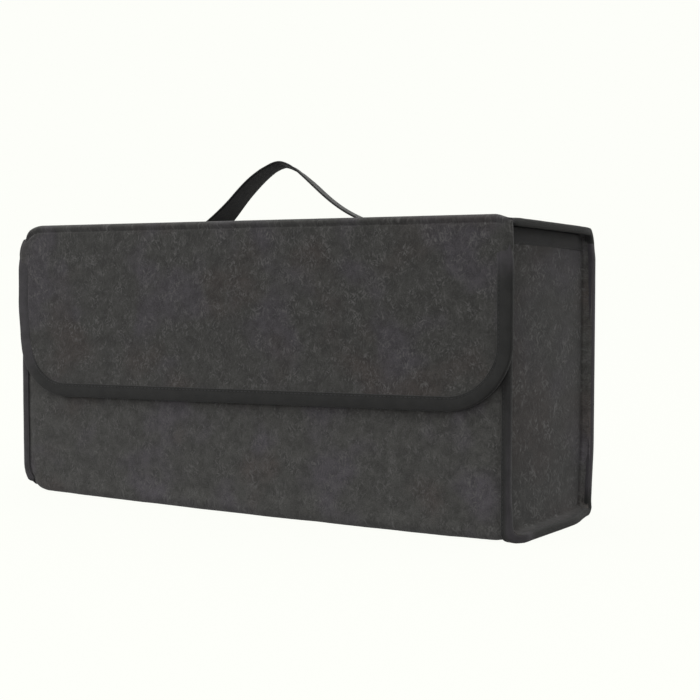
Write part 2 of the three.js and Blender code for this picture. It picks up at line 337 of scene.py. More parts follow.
class Line:
    """Straight runs and quarter turns in Y and Z, with the way along them as one number."""

    def __init__(self, y, z, heading):
        self.runs = []
        self.length = 0.0
        self.at = np.array([y, z], float)
        self.heading = np.array(heading, float)

    def straight(self, length):
        self.runs.append((self.length, length, self.at.copy(), self.heading.copy(), 0.0))
        self.at = self.at + self.heading * length
        self.length += length
        return self.length

    def turn(self, radius):
        """A quarter turn to the left of the heading, seen with Y to the right and Z up."""
        left = np.array([-self.heading[1], self.heading[0]])
        arc = radius * math.pi / 2
        self.runs.append((self.length, arc, self.at.copy(), self.heading.copy(), radius))
        self.at = self.at + (self.heading + left) * radius
        self.heading = left
        self.length += arc
        return self.length

    def point(self, s):
        """Places and outward directions for ways along the line, whose end runs go on past its ends."""
        s = np.asarray(s, float)
        place = np.zeros(s.shape + (2,))
        out = np.zeros(s.shape + (2,))
        for i, (start, length, at, heading, radius) in enumerate(self.runs):
            first = -math.inf if i == 0 else start
            last = math.inf if i == len(self.runs) - 1 else start + length
            here = (s >= first) & (s <= last)
            t = (s[here] - start)[:, None]
            left = np.array([-heading[1], heading[0]])
            if radius:
                angle = t / radius
                place[here] = at + heading * radius * np.sin(angle) + left * radius * (1 - np.cos(angle))
                ahead = heading * np.cos(angle) + left * np.sin(angle)
            else:
                place[here] = at + heading * t
                ahead = np.broadcast_to(heading, (t.shape[0], 2))
            out[here] = np.stack([ahead[:, 1], -ahead[:, 0]], 1)
        return place, out


class Sheet:
    """The one felt sheet, and the stations on it where its pieces begin and end."""

    def __init__(self):
        felt = settings().felt
        wall_y = wrap_low.y + felt_half
        base_z = wrap_low.z + felt_half
        back_y = wrap_high.y - felt_half
        r = felt.base_fold
        line = Line(wall_y, front_rim_z, (0, -1))
        self.front_foot = line.straight(front_rim_z - base_z - r)
        self.base_start = line.turn(r)
        self.base_end = line.straight(back_y - wall_y - 2 * r)
        self.back_foot = line.turn(r)
        self.back_top = line.straight(front_pivot.z - felt.back_fold - base_z - r)
        self.lid_back = line.turn(felt.back_fold)
        self.lid_front = line.straight(back_y - front_pivot.y - felt.back_fold - felt.front_fold)
        self.flap_top = line.turn(felt.front_fold)
        self.flap_edge = line.straight(front_pivot.z - felt.front_fold - flap_low.z)
        self.line = line

    def drop(self, s):
        """How far below the fold's middle line a place on the flap lies."""
        return np.asarray(s, float) - self.flap_top + settings().felt.front_fold


def half_width(sheet, s):
    """Half the felt's width at ways along it: the box, the wider lid, the flap with its round corners."""
    felt = settings().felt
    s = np.asarray(s, float)
    body = body_end_x - tape_build
    lid = lid_end_x - tape_build
    width = body + (lid - body) * smooth(sheet.back_top, sheet.lid_back, s)
    bare = front_pivot.z - flap_tape_high.z - 6 * MM
    uncovered = smooth(sheet.lid_front - 1.5 * MM, sheet.lid_front + 0.5 * MM, s)
    width = width + tape_build * uncovered * (1 - smooth(bare, bare + 8 * MM, sheet.drop(s)))
    radius = felt.flap_corner - tape_build
    into = np.clip(s - (sheet.flap_edge - radius), 0, radius)
    return width - (radius - np.sqrt(np.maximum(radius ** 2 - into ** 2, 0)))


# Heights of the finer forms in the felt: its small waves, the base's crown and the belly of the flap
SMALL_WAVES = 0.12 * MM
BASE_CROWN = 0.4 * MM
FLAP_BELLY = 1.3 * MM


def arch(start, end, way):
    """A low arch from 0 at start to 1 halfway and 0 at end."""
    return np.sin(np.clip((way - start) / (end - start), 0, 1) * math.pi)


def bulge(sheet, x, s):
    """How far the sheet stands out from its line, as cloth that is pulled, pinched and pressed does."""
    felt = settings().felt
    x, s = np.broadcast_arrays(np.asarray(x, float), np.asarray(s, float))
    drop = sheet.drop(s)
    span = np.cos(np.clip(x / body_end_x, -1, 1) * math.pi / 2) ** 0.6
    ripple = felt.ripple * waves(x, s, 1.7) * span
    out = ripple + SMALL_WAVES * waves(x * 5, s * 5, 3.1)

    # Between their seams the walls stand out and the lid hangs, and the base lies flat on the floor
    low_front = bell(sheet.front_foot - 45 * MM, 42 * MM, s)
    back = arch(sheet.back_foot, sheet.back_top, s)
    out = out + felt.wall_bulge * span * (low_front + 1.6 * back)
    out = out - felt.lid_sag * arch(sheet.lid_back, sheet.lid_front, s) * span
    base = arch(sheet.base_start, sheet.base_end, s)
    out = out + BASE_CROWN * base * span - ripple * (base > 0)

    # The flap has a belly, and its lower edge stands off the wall
    on_flap = smooth(0, 12 * MM, drop)
    out = out + on_flap * FLAP_BELLY * bell(62 * MM, 45 * MM, drop) * span
    out = out + felt.edge_stand * smooth(100 * MM, 142 * MM, drop)

    # Sewing along the front fold leaves a bead with a crease under it
    crease = felt.crease_depth * (1 - smooth(lid_end_x - 14 * MM, lid_end_x, np.abs(x)))
    near_fold = smooth(sheet.lid_front - 10 * MM, sheet.lid_front, s) * (1 - smooth(0, 9 * MM, drop))
    bead = smooth(sheet.lid_front - 2 * MM, sheet.lid_front, s)
    bead = bead * (1 - smooth(0.7 * MM, 2.1 * MM, drop))
    out = out * (1 - 0.8 * near_fold) + crease * bead
    out = out - 0.6 * crease * bell(2.7 * MM, 1.0 * MM, drop) * (s > sheet.lid_front)

    foot = (sheet.front_foot + sheet.base_start) / 2
    return out + felt.base_puff * bell(foot, 9 * MM, s) * span


# How much less the left seam is pinched, and how far the lid's and the flap's own edges are pressed
LEFT_PINCH = 0.4
EDGE_PRESS = 1.3 * MM


def pinch(sheet, x, s):
    """How far an end seam presses the outer face of the walls in, deepest just beside the tape."""
    depth = body_end_x - np.abs(np.asarray(x, float))
    on_body = 1 - smooth(sheet.back_top - 6 * MM, sheet.back_top + 4 * MM, s)
    amount = settings().felt.seam_pinch * np.where(np.asarray(x) < 0, LEFT_PINCH, 1)
    slope = 1 - smooth(seam_cover, seam_cover + 8 * MM, depth)
    groove = 0.55 * bell(seam_cover + 0.4 * MM, 1.6 * MM, depth)
    bare_edge = (1 - smooth(0, 5 * MM, lid_end_x - np.abs(x))) * (s > sheet.lid_back)
    return amount * (slope + groove) * on_body + EDGE_PRESS * bare_edge


def round_corner(across, down, size, strength):
    """Moves places near a square corner onto a round one. across and down count from its two edges."""
    a = 1 - across / size
    b = 1 - down / size
    inside = (a > 0) & (b > 0)
    reach = np.hypot(a, b)
    factor = np.where(inside, np.maximum(a, b) / np.maximum(reach, 1e-9), 1)
    factor = 1 - strength * (1 - factor)
    return (np.where(inside, size * (1 - a * factor), across),
            np.where(inside, size * (1 - b * factor), down))


# How much of the right end's flare at the base its plate and its seam take
PLATE_FLARE, SEAM_FLARE = 0.36, 0.64


def settle(points):
    """The slow sag of the whole box, the same for every piece, so that what is sewn stays together."""
    felt = settings().felt
    x, y, z = points[:, 0].copy(), points[:, 1].copy(), points[:, 2].copy()

    # The left end's corners are round, most of all at the front
    top = front_pivot.z + felt_half + tape_build
    front = 1 - smooth(-45 * MM, 25 * MM, y)
    across, down = round_corner(x + lid_end_x, top - z, felt.corner_top, front)
    x, z = across - lid_end_x, top - down
    across, up = round_corner(x + body_end_x, z, felt.corner_base, front)
    x, z = across - body_end_x, up

    # The top slopes down to the left and to the back
    high = smooth(90 * MM, top, z)
    z = z - felt.left_drop * (lid_end_x - x) / (2 * lid_end_x) * high
    backward = np.clip((y - front_pivot.y) / (back_pivot.y - front_pivot.y), 0, 1.03)
    z = z - back_drop * backward * high

    # The right end's foot stands out, least at the back
    along = smooth(wrap_low.y - 3 * MM, wrap_low.y + 13 * MM, y)
    along = along * (1 - 0.9 * smooth(20 * MM, wrap_high.y, y))
    seam = smooth(end_plate_x + 0.5 * MM, body_end_x - 3 * MM, x) * (1 - smooth(6.4 * MM, 10 * MM, z))
    plate = smooth(end_plate_x - 8 * MM, end_plate_x, x) * (1 - smooth(7 * MM, 42 * MM, z))
    x = x + felt.base_flare * along * (PLATE_FLARE * plate + SEAM_FLARE * seam)

    # The lid's back corner and the front are drawn in at the right, and the lower left end stands out
    back_corner = smooth(50 * MM, back_pivot.y, y) * smooth(212 * MM, 236 * MM, z)
    x = x - felt.back_tuck * back_corner * smooth(200 * MM, lid_end_x, x)
    forward = 1 - smooth(front_pivot.y + 5 * MM, 20 * MM, y)
    x = x - felt.front_tuck * smooth(100 * MM, lid_end_x, x) * forward
    low = 1 - smooth(110 * MM, 200 * MM, z)
    x = x - felt.left_swell * low * smooth(body_end_x - 50 * MM, body_end_x, -x)

    # The foot of the back wall leans in
    foot = 1 - smooth(0, 62 * MM, z)
    y = y - felt.back_lean * foot * smooth(0, wrap_high.y, y)
    return np.stack([x, y, z], 1)


# How far from the middle of the box the flap's slant is measured
SLANT_REACH = 190 * MM


def slant(sheet, x, s):
    """How far places on the flap move up with its edge, which isn't level."""
    felt = settings().felt
    depth = np.clip(sheet.drop(s) / sheet.drop(sheet.flap_edge), 0, 1.2)
    return depth * (felt.flap_lift + felt.flap_slant * x / SLANT_REACH)


def on_sheet(sheet, x, s, h):
    """A place at height h over the middle of the sheet."""
    felt = settings().felt
    x, s, h = (np.asarray(v, float).ravel() for v in np.broadcast_arrays(x, s, h))
    place, out = sheet.line.point(s)
    lift = (h + bulge(sheet, x, s))[:, None]
    flat = place + out * lift
    pulled = felt.flap_shift * smooth(0, 30 * MM, sheet.drop(s))
    tucked = smooth(62 * MM, 105 * MM, sheet.drop(s)) * smooth(lid_end_x - 80 * MM, lid_end_x, -x)
    x_moved = x + (pulled + felt.corner_tuck * tucked) * (s > sheet.flap_top)
    points = np.stack([x_moved, flat[:, 0], flat[:, 1]], 1)
    points[:, 2] += slant(sheet, x, s) * (s > sheet.lid_front)
    risen = smooth(sheet.lid_front - 14 * MM, sheet.lid_front, s)
    risen = risen * (1 - smooth(3 * MM, 16 * MM, sheet.drop(s)))
    held = 0.75 * smooth(lid_end_x - 16 * MM, lid_end_x - 2 * MM, np.abs(x))
    points[:, 2] += felt.fold_lift * risen * (1 - held)
    return settle(points)


# Making meshes

def make_object(name, points, faces, finishes, cuts=None, slots=None):
    """A mesh object from points and faces. cuts gives each point's place on the flat cloth, in metres."""
    mesh = bpy.data.meshes.new(name)
    mesh.from_pydata([tuple(p) for p in points], [], [tuple(f) for f in faces])
    mesh.update()
    for finish in finishes:
        mesh.materials.append(finish)
    if slots is not None:
        mesh.polygons.foreach_set("material_index", np.asarray(slots, np.int32))
    if cuts is not None:
        layer = mesh.uv_layers.new(name=CUT_MAP)
        corner = np.zeros(len(mesh.loops), np.int32)
        mesh.loops.foreach_get("vertex_index", corner)
        layer.data.foreach_set("uv", np.asarray(cuts, np.float32)[corner].ravel())
    mesh.polygons.foreach_set("use_smooth", np.ones(len(mesh.polygons), bool))
    obj = bpy.data.objects.new(name, mesh)
    bpy.context.scene.collection.objects.link(obj)
    return obj


class Build:
    """Points, faces, cloth coordinates and finishes of a piece made from several closed bodies."""

    def __init__(self):
        self.points, self.faces, self.cuts, self.slots = [], [], [], []
        self.count = 0

    def add(self, points, faces, cuts, slot=0):
        self.points.append(np.asarray(points, float))
        self.cuts.append(np.asarray(cuts, float))
        self.faces.extend([tuple(i + self.count for i in f) for f in faces])
        self.slots.extend([slot] * len(faces))
        self.count += len(points)

    def object(self, name, *finishes):
        """The piece with those finishes, by their names."""
        made = [finish_named(finish) for finish in finishes]
        return make_object(
            name, np.concatenate(self.points), self.faces, made, np.concatenate(self.cuts), self.slots)

    def sewn(self, name, finish):
        """The piece with that finish and its stitches of thread."""
        return self.object(name, finish, "sewing thread")


def tube_faces(rings, corners):
    """Faces round a tube from ring to ring of corners, without its two caps."""
    faces = []
    for i in range(rings - 1):
        a = i * corners
        b = a + corners
        for j in range(corners):
            k = (j + 1) % corners
            faces.append((a + j, a + k, b + k, b + j))
    return faces


def grid_solid(columns, rows, place, cut):
    """A closed sheet: two grids joined round the rim. place(side) gives the points of that face."""
    outer, inner = place(1), place(-1)
    count = columns * rows
    faces = []
    for i in range(rows - 1):
        for j in range(columns - 1):
            a = i * columns + j
            quad = (a, a + 1, a + columns + 1, a + columns)
            faces.append(quad)
            faces.append(tuple(count + k for k in reversed(quad)))
    rim = [j for j in range(columns)]
    rim += [i * columns + columns - 1 for i in range(1, rows)]
    rim += [(rows - 1) * columns + j for j in range(columns - 2, -1, -1)]
    rim += [i * columns for i in range(rows - 2, 0, -1)]
    for a, b in zip(rim, rim[1:] + rim[:1]):
        faces.append((b, a, a + count, b + count))
    return np.concatenate([outer, inner]), faces, np.concatenate([cut, cut])


def moved(place, start):
    """The same path with its way counted from start."""
    return lambda way, d, h: place(way + start, d, h)


def spread(start, end, step):
    """Evenly spaced ways from start to end, no further apart than step."""
    return np.linspace(start, end, max(2, int(math.ceil(abs(end - start) / step)) + 1))


def felt_piece(name, sheet, ways, finish, columns=150):
    """A stretch of the sheet as a closed felt solid, thinner where a seam pinches it."""
    even = np.linspace(-1, 1, columns)
    across = np.sign(even) * (1 - (1 - np.abs(even)) ** 1.25)
    s = np.repeat(ways, columns)
    x = np.tile(across, len(ways)) * half_width(sheet, s)

    def place(side):
        height = felt_half * side - (pinch(sheet, x, s) if side > 0 else 0)
        return on_sheet(sheet, x, s, height)

    points, faces, cuts = grid_solid(columns, len(ways), place, np.stack([x, s], 1))
    return make_object(name, points, faces, [finish], cuts)


# The corner of a tape's section that its stitches press in, and how far the thread stands over it
TAPE_GROOVE = 3
THREAD_STAND = 0.12 * MM


def tape_section(cover, half, thickness, dip):
    """A folded tape's section as (way in from the edge, height): its outer face, then its inner face.

    Its heights are shares of half, the half thickness of what it covers, and dip is where it is stitched.
    """
    outer = [
        (cover + 0.1 * MM, half * 0.62), (cover, half * 0.86), (cover - 0.7 * MM, half * 0.93),
        (cover - dip, half * 0.86), (cover - dip - 1.1 * MM, half * 0.97), (cover * 0.45, half),
        (half * 0.5, half * 0.985), (half * 0.2, half * 0.86), (half * 0.04, half * 0.5), (0, 0),
    ]
    inside = [(max(d, thickness) + (thickness * 0.3 if d < half else 0), h - thickness)
              for d, h in outer[2:8]]
    inside = [(cover, half * 0.86 - thickness)] + inside + [(thickness, 0)]
    ring = outer + [(d, -h) for d, h in outer[-2::-1]]
    back = [(d, -h) for d, h in inside] + [(d, h) for d, h in inside[-2::-1]]
    return np.array(ring + back)


def tape_run(build, place, ways, section):
    """A tape along a path. place(way, d, h) gives points d in from the edge and h over its middle."""
    corners = len(section)
    way = np.repeat(ways, corners)
    d = np.tile(section[:, 0], len(ways))
    h = np.tile(section[:, 1], len(ways))
    points = place(way, d, h)
    faces = tube_faces(len(ways), corners)
    first = tuple(range(corners))
    last = tuple(reversed([i + (len(ways) - 1) * corners for i in range(corners)]))
    round_about = np.cumsum(np.hypot(*np.diff(section, axis=0, prepend=section[:1]).T))
    round_about -= round_about[np.argmin(np.abs(section).sum(1))]
    cuts = np.stack([way, np.tile(round_about, len(ways))], 1)
    build.add(points, [tuple(reversed(f)) for f in faces] + [first, last], cuts)


# A stitch's rings as (share of its length, share of the thread's thickness), and how flat it is pulled
STITCH_RINGS = ((-0.5, 0.35), (-0.36, 0.85), (0, 1), (0.36, 0.85), (0.5, 0.35))
STITCH_SIDES = 6
STITCH_FLATNESS = 0.8


def stitch_run(build, place, length, d, h):
    """A row of thread stitches along a path. h is over 0 on the near face and under 0 on the far one."""
    sewing = settings().sewing
    count = max(1, int(length / sewing.pitch))
    centres = (np.arange(count) + 0.5) * length / count
    faces = tube_faces(len(STITCH_RINGS), STITCH_SIDES)
    faces.append(tuple(reversed(range(STITCH_SIDES))))
    top = (len(STITCH_RINGS) - 1) * STITCH_SIDES
    faces.append(tuple(range(top, top + STITCH_SIDES)))
    if h < 0:
        faces = [tuple(reversed(f)) for f in faces]
    angle = np.arange(STITCH_SIDES) * math.tau / STITCH_SIDES
    way, inward, height = [], [], []
    for t, width in STITCH_RINGS:
        way.append(np.full(STITCH_SIDES, t * sewing.stitch))
        inward.append(0.5 * sewing.thread * width * np.cos(angle))
        height.append(0.5 * sewing.thread * width * np.sin(angle) * math.copysign(STITCH_FLATNESS, h))
    way, inward, height = (np.concatenate(v) for v in (way, inward, height))
    per = len(way)
    points = place(np.repeat(centres, per) + np.tile(way, count),
                   d + np.tile(inward, count), h + np.tile(height, count))
    cuts = np.stack([np.tile(way, count), np.tile(inward, count)], 1)
    for i in range(count):
        part = slice(i * per, (i + 1) * per)
        build.add(points[part], faces, cuts[part], SEWN_SLOT)


def stitch_tape(build, place, length, section):
    """Stitches in the grooves on both faces of a folded tape."""
    inset, height = section[TAPE_GROOVE]
    for face in (1, -1):
        stitch_run(build, place, length, inset, face * (height + THREAD_STAND))


# Height that marks a row of stitches as lying on the near face of what is flat
NEAR_FACE = 1e-6


def stitch_rows(build, rows, lay):
    """Straight rows of stitches on what is flat. lay(u, v, h) gives points for places on it."""
    for start, end in rows:
        start, end = np.array(start), np.array(end)
        length = np.linalg.norm(end - start)
        ahead = (end - start) / length
        sideways = np.array([-ahead[1], ahead[0]])

        def place(way, d, h):
            way, d, h = np.broadcast_arrays(way, d, h)
            flat = start + ahead * way[:, None] + sideways * d[:, None]
            return lay(flat[:, 0], flat[:, 1], h)

        stitch_run(build, place, length, 0, NEAR_FACE)


# Finishes

def new_finish(name):
    """A material with its node tree and its shader."""
    finish = bpy.data.materials.new(name)
    finish.use_nodes = True
    tree = finish.node_tree
    shader = next(n for n in tree.nodes if n.type == "BSDF_PRINCIPLED")
    return finish, tree, shader


def node(tree, kind, **values):
    """A node with its settings and unlinked inputs; links are given as node outputs."""
    made = tree.nodes.new(kind)
    for key, value in values.items():
        if key.startswith("in_"):
            slot = key.removeprefix("in_")
            socket = made.inputs[int(slot) if slot.isdigit() else slot.replace("_", " ")]
            if isinstance(value, bpy.types.NodeSocket):
                tree.links.new(value, socket)
            else:
                socket.default_value = value
        else:
            setattr(made, key, value)
    return made


def maths(tree, operation, a, b=0.0):
    """One sum on two numbers."""
    return node(tree, "ShaderNodeMath", operation=operation, in_0=a, in_1=b).outputs[0]


def scaled(tree, vector, amount):
    """A place or a colour times a number."""
    return node(tree, "ShaderNodeVectorMath", operation="SCALE", in_0=vector, in_Scale=amount).outputs[0]


def mix_colour(tree, factor, a, b):
    """Colour a, with colour b over it by that factor."""
    made = node(tree, "ShaderNodeMix", data_type="RGBA")
    for socket, value in ((made.inputs[0], factor), (made.inputs[6], a), (made.inputs[7], b)):
        if isinstance(value, bpy.types.NodeSocket):
            tree.links.new(value, socket)
        else:
            socket.default_value = value
    return made.outputs[2]


def between(tree, value, low, high, to_low=0.0, to_high=1.0):
    """to_low below low, to_high above high, with an even start and stop."""
    return node(tree, "ShaderNodeMapRange", interpolation_type="SMOOTHSTEP", in_0=value,
                in_1=low, in_2=high, in_3=to_low, in_4=to_high).outputs[0]


def rgba(colour):
    """The same colour, with nothing seen through it."""
    return (*colour, 1)


def cloth_coordinates(tree):
    """Places on the flat cloth in millimetres."""
    cut = node(tree, "ShaderNodeUVMap", uv_map=CUT_MAP)
    return scaled(tree, cut.outputs[0], 1 / MM)


def noise(tree, vector, size, detail=2.0, rough=0.5):
    """Noise with patches of about that size in millimetres."""
    return node(tree, "ShaderNodeTexNoise", noise_dimensions="3D", in_Vector=vector, in_Scale=1 / size,
                in_Detail=detail, in_Roughness=rough).outputs[0]


def fibres(tree, vector, angle, length, width, low, high, shift):
    """Curved hairs that lie at an angle, as a mask."""
    turned = node(tree, "ShaderNodeMapping", vector_type="TEXTURE", in_Vector=vector,
                  in_Location=(shift, -shift, 0), in_Rotation=(0, 0, angle), in_Scale=(length, width, 1))
    streak = noise(tree, turned.outputs[0], 1.0, 1.5, 0.4)
    return between(tree, streak, low, high)


def bent(tree, vector, size, amount):
    """The same coordinates pushed about by a slower noise, so that hairs curl."""
    push = node(tree, "ShaderNodeTexNoise", noise_dimensions="3D", in_Vector=vector, in_Scale=1 / size,
                in_Detail=1.0)
    centred = node(tree, "ShaderNodeVectorMath", operation="SUBTRACT", in_0=push.outputs[1],
                   in_1=(0.5, 0.5, 0.5))
    pushed = scaled(tree, centred.outputs[0], amount)
    return node(tree, "ShaderNodeVectorMath", operation="ADD", in_0=vector, in_1=pushed).outputs[0]


# How the felt's hairs lie, in radians, and each kind's length, width in mm, and noise from faint to whole
FIBRE_ANGLES = (0.6, 1.25, 1.6, 1.95, 2.5)
PALE_HAIR = (5.6, 1.7, 0.57, 0.77)
DARK_HAIR = (7.0, 1.1, 0.6, 0.74)

# Painted light on the end felt's back flange: how much paler it is made, where its recess shades it
FLANGE_PAINTED_LIGHT = 2.2


def felt_finish(name, warmth, depth, fleck, painted_light_from=None):
    """Needle felt: dark mixed fibres, patches of hue, short pale hairs in clusters, a matted surface.

    warmth spreads the brown patches, depth is the shade of the whole, which differs between walls, ends and
    flap as painted light and shade, and fleck the strength of the pale hairs. painted_light_from says from
    where across the cut, in mm, the felt is painted paler: painted light on an end panel's back flange,
    which its recess shades.
    """
    colours = settings().finish
    finish, tree, shader = new_finish(name)
    cloth = cloth_coordinates(tree)
    curled = bent(tree, cloth, 10.0, 5.0)
    hue = noise(tree, cloth, 62.0, 2.0, 0.55)
    cool = between(tree, hue, 0.48, 0.66)
    elsewhere = node(tree, "ShaderNodeMapping", in_Vector=cloth, in_Location=(91, 37, 0)).outputs[0]
    warm = between(tree, noise(tree, elsewhere, 75.0, 2.0), 0.56 - warmth, 0.74 - warmth)
    base = mix_colour(tree, cool, rgba(colours.felt), rgba(colours.felt_cool))
    base = mix_colour(tree, warm, base, rgba(colours.felt_warm))
    mottle = noise(tree, curled, 10.0, 3.0, 0.62)
    grain = noise(tree, cloth, 0.9, 3.0, 0.7)
    shade = between(tree, mottle, 0.3, 0.7, 0.78 * depth, 1.22 * depth)
    shade = maths(tree, "MULTIPLY", shade, between(tree, grain, 0.25, 0.75, 0.72, 1.28))
    # Painted light: the end panel's back flange, shaded in its recess, is painted paler
    if painted_light_from:
        across = node(tree, "ShaderNodeSeparateXYZ", in_0=cloth).outputs[0]
        paler = between(tree, across, painted_light_from, painted_light_from + 1, 1.0, FLANGE_PAINTED_LIGHT)
        shade = maths(tree, "MULTIPLY", shade, paler)
    base = scaled(tree, base, shade)
    clusters = between(tree, noise(tree, cloth, 15.0, 3.0, 0.65), 0.42, 0.64, 0.2, 1.0)
    hairs, dark = None, None
    for i, angle in enumerate(FIBRE_ANGLES):
        more = fibres(tree, curled, angle, *PALE_HAIR, 31.0 * i + 5)
        hairs = more if hairs is None else maths(tree, "MAXIMUM", hairs, more)
    for i, angle in enumerate(FIBRE_ANGLES[::2]):
        more = fibres(tree, curled, angle + 0.5, *DARK_HAIR, 57.0 * i + 11)
        dark = more if dark is None else maths(tree, "MAXIMUM", dark, more)
    pale = maths(tree, "MULTIPLY", hairs, clusters)
    deep = rgba([c * 0.45 for c in colours.felt])
    base = mix_colour(tree, maths(tree, "MULTIPLY", dark, 0.35), base, deep)
    base = mix_colour(tree, maths(tree, "MULTIPLY", pale, fleck), base, rgba(colours.fibre))
    tree.links.new(base, shader.inputs["Base Color"])
    relief = maths(tree, "MULTIPLY", grain, 0.55)
    relief = maths(tree, "ADD", relief, maths(tree, "MULTIPLY", hairs, 0.35))
    relief = maths(tree, "ADD", relief, maths(tree, "MULTIPLY", mottle, 1.4))
    relief = maths(tree, "SUBTRACT", relief, maths(tree, "MULTIPLY", dark, 0.3))
    bump = node(tree, "ShaderNodeBump", in_Strength=0.55, in_Distance=0.55 * MM, in_Height=relief)
    tree.links.new(bump.outputs[0], shader.inputs["Normal"])
    shader.inputs["Roughness"].default_value = 0.97
    shader.inputs["Specular IOR Level"].default_value = 0.12
    shader.inputs["Sheen Weight"].default_value = 0.18
    shader.inputs["Sheen Roughness"].default_value = 0.6
    shader.inputs["Sheen Tint"].default_value = (0.75, 0.74, 0.76, 1)
    return finish


# How far across a tape its coat of painted light takes to become whole, in mm
LIGHT_COAT_FADE = 5


def woven_finish(name, colour, rib, sheen, rough, lit_coats=None, folded=1.0):
    """Woven tape or webbing: ribs across it, threads along it, worn a little paler on the high threads.

    lit_coats is for a folded tape and lists its coats of painted light, felt-coloured, where the tape
    catches light at the box's edges. Each coat begins, is whole, is still whole and ends at places along the
    tape in mm, has a strength, and is whole from a place across on. folded is the painted shade of such a
    tape's folded edge, for the shadow at it, and above 1 painted light.
    """
    finish, tree, shader = new_finish(name)
    cloth = cloth_coordinates(tree)
    split = node(tree, "ShaderNodeSeparateXYZ", in_0=cloth)
    jitter = maths(tree, "MULTIPLY", noise(tree, cloth, 6.0, 1.0), 0.5 * rib)
    along = maths(tree, "MULTIPLY", maths(tree, "ADD", split.outputs[0], jitter), math.tau / rib)
    across = maths(tree, "MULTIPLY", split.outputs[1], math.tau / (rib * 0.85))
    warp = maths(tree, "SINE", along)
    weft = maths(tree, "SINE", across)
    weave = maths(tree, "MULTIPLY", maths(tree, "ADD", maths(tree, "MULTIPLY", warp, weft), 1.0), 0.5)
    wear = noise(tree, cloth, 11.0, 3.0, 0.6)
    lint = between(tree, noise(tree, bent(tree, cloth, 3.0, 2.0), 1.3, 3.0, 0.7), 0.6, 0.8)
    light = between(tree, weave, 0.0, 1.0, 0.78, 1.12)
    light = maths(tree, "ADD", light, between(tree, wear, 0.3, 0.7, -0.12, 0.16))
    base = scaled(tree, tuple(colour), light)
    base = mix_colour(tree, maths(tree, "MULTIPLY", lint, 0.16), base, rgba([c * 3.2 for c in colour]))
    # Painted shade on the folded edge, for the shadow under it; on the end hem it is painted light
    if lit_coats is not None:
        fold = between(tree, maths(tree, "ABSOLUTE", split.outputs[1]), 0.9, 3.0, folded, 1.0)
        base = scaled(tree, base, fold)
    # Painted light: each coat lightens the tape towards the felt's violet where it catches light at the
    # box's edges, and on the end hem under the lid's shade
    for start, full, last, end, strength, whole in lit_coats or ():
        coat = maths(tree, "MULTIPLY", between(tree, split.outputs[0], start, full, 0.0, strength),
                     between(tree, split.outputs[0], last, end, 1.0, 0.0))
        coat = maths(tree, "MULTIPLY", coat, between(tree, split.outputs[1], whole - LIGHT_COAT_FADE, whole))
        coat = maths(tree, "MULTIPLY", coat, between(tree, wear, 0.3, 0.7, 0.55, 0.95))
        base = mix_colour(tree, coat, base, rgba(settings().finish.felt_cool))
    tree.links.new(base, shader.inputs["Base Color"])
    height = maths(tree, "ADD", weave, maths(tree, "MULTIPLY", wear, 0.5))
    bump = node(tree, "ShaderNodeBump", in_Strength=0.6, in_Distance=0.22 * MM, in_Height=height)
    tree.links.new(bump.outputs[0], shader.inputs["Normal"])
    shader.inputs["Roughness"].default_value = rough
    shader.inputs["Specular IOR Level"].default_value = 0.3
    shader.inputs["Sheen Weight"].default_value = sheen
    shader.inputs["Sheen Roughness"].default_value = 0.45
    return finish


def closure_finish(name, colour, nap):
    """Hook or loop tape: rows of tiny points, or a tangled nap."""
    finish, tree, shader = new_finish(name)
    cloth = cloth_coordinates(tree)
    tangle = noise(tree, bent(tree, cloth, 1.5, 1.6 * nap), 0.8, 3.0, 0.75)
    points = node(tree, "ShaderNodeTexVoronoi", in_Vector=cloth, in_Scale=0.8, in_Randomness=nap)
    height = maths(tree, "ADD", maths(tree, "MULTIPLY", points.outputs[0], -1.2), tangle)
    light = between(tree, tangle, 0.25, 0.75, 0.6, 1.5)
    base = scaled(tree, tuple(colour), light)
    tree.links.new(base, shader.inputs["Base Color"])
    bump = node(tree, "ShaderNodeBump", in_Strength=0.9, in_Distance=0.5 * MM, in_Height=height)
    tree.links.new(bump.outputs[0], shader.inputs["Normal"])
    shader.inputs["Roughness"].default_value = 0.8
    shader.inputs["Sheen Weight"].default_value = 0.15
    return finish


# Painted shade on a tape's folded edge, for the shadow under it, and painted light on the fold of an end
# wall's hem, which the lid's edge shades
PAINTED_FOLD_SHADE, PAINTED_FOLD_LIGHT = 0.52, 1.15

# Painted light on the tapes: felt-coloured coats where they catch light at the box's edges, and on the end
# hem against the lid's shade, as woven_finish takes them. BEFORE and BEYOND lie off a tape's two ends.
BEFORE, BEYOND, ALL_OVER = (-60, -40), (900, 940), -30
TAPE_LIGHT_COATS = {
    "flap tape": ((*BEFORE, 92, 135, 1, ALL_OVER), (692, 716, *BEYOND, 1.05, ALL_OVER)),
    "left seam tape": ((*BEFORE, *BEYOND, 1, ALL_OVER),),
    "right seam tape": ((90, 222, 244, 262, 1, -2), (392, 410, *BEYOND, 1.5, ALL_OVER)),
    "left lid tape": ((735, 774, *BEYOND, 1.05, ALL_OVER),),
    "right lid tape": ((770, 776, *BEYOND, 0.8, ALL_OVER),),
    "end hem tape": ((*BEFORE, *BEYOND, 0.3, ALL_OVER),),
    "binding tape": (),
}


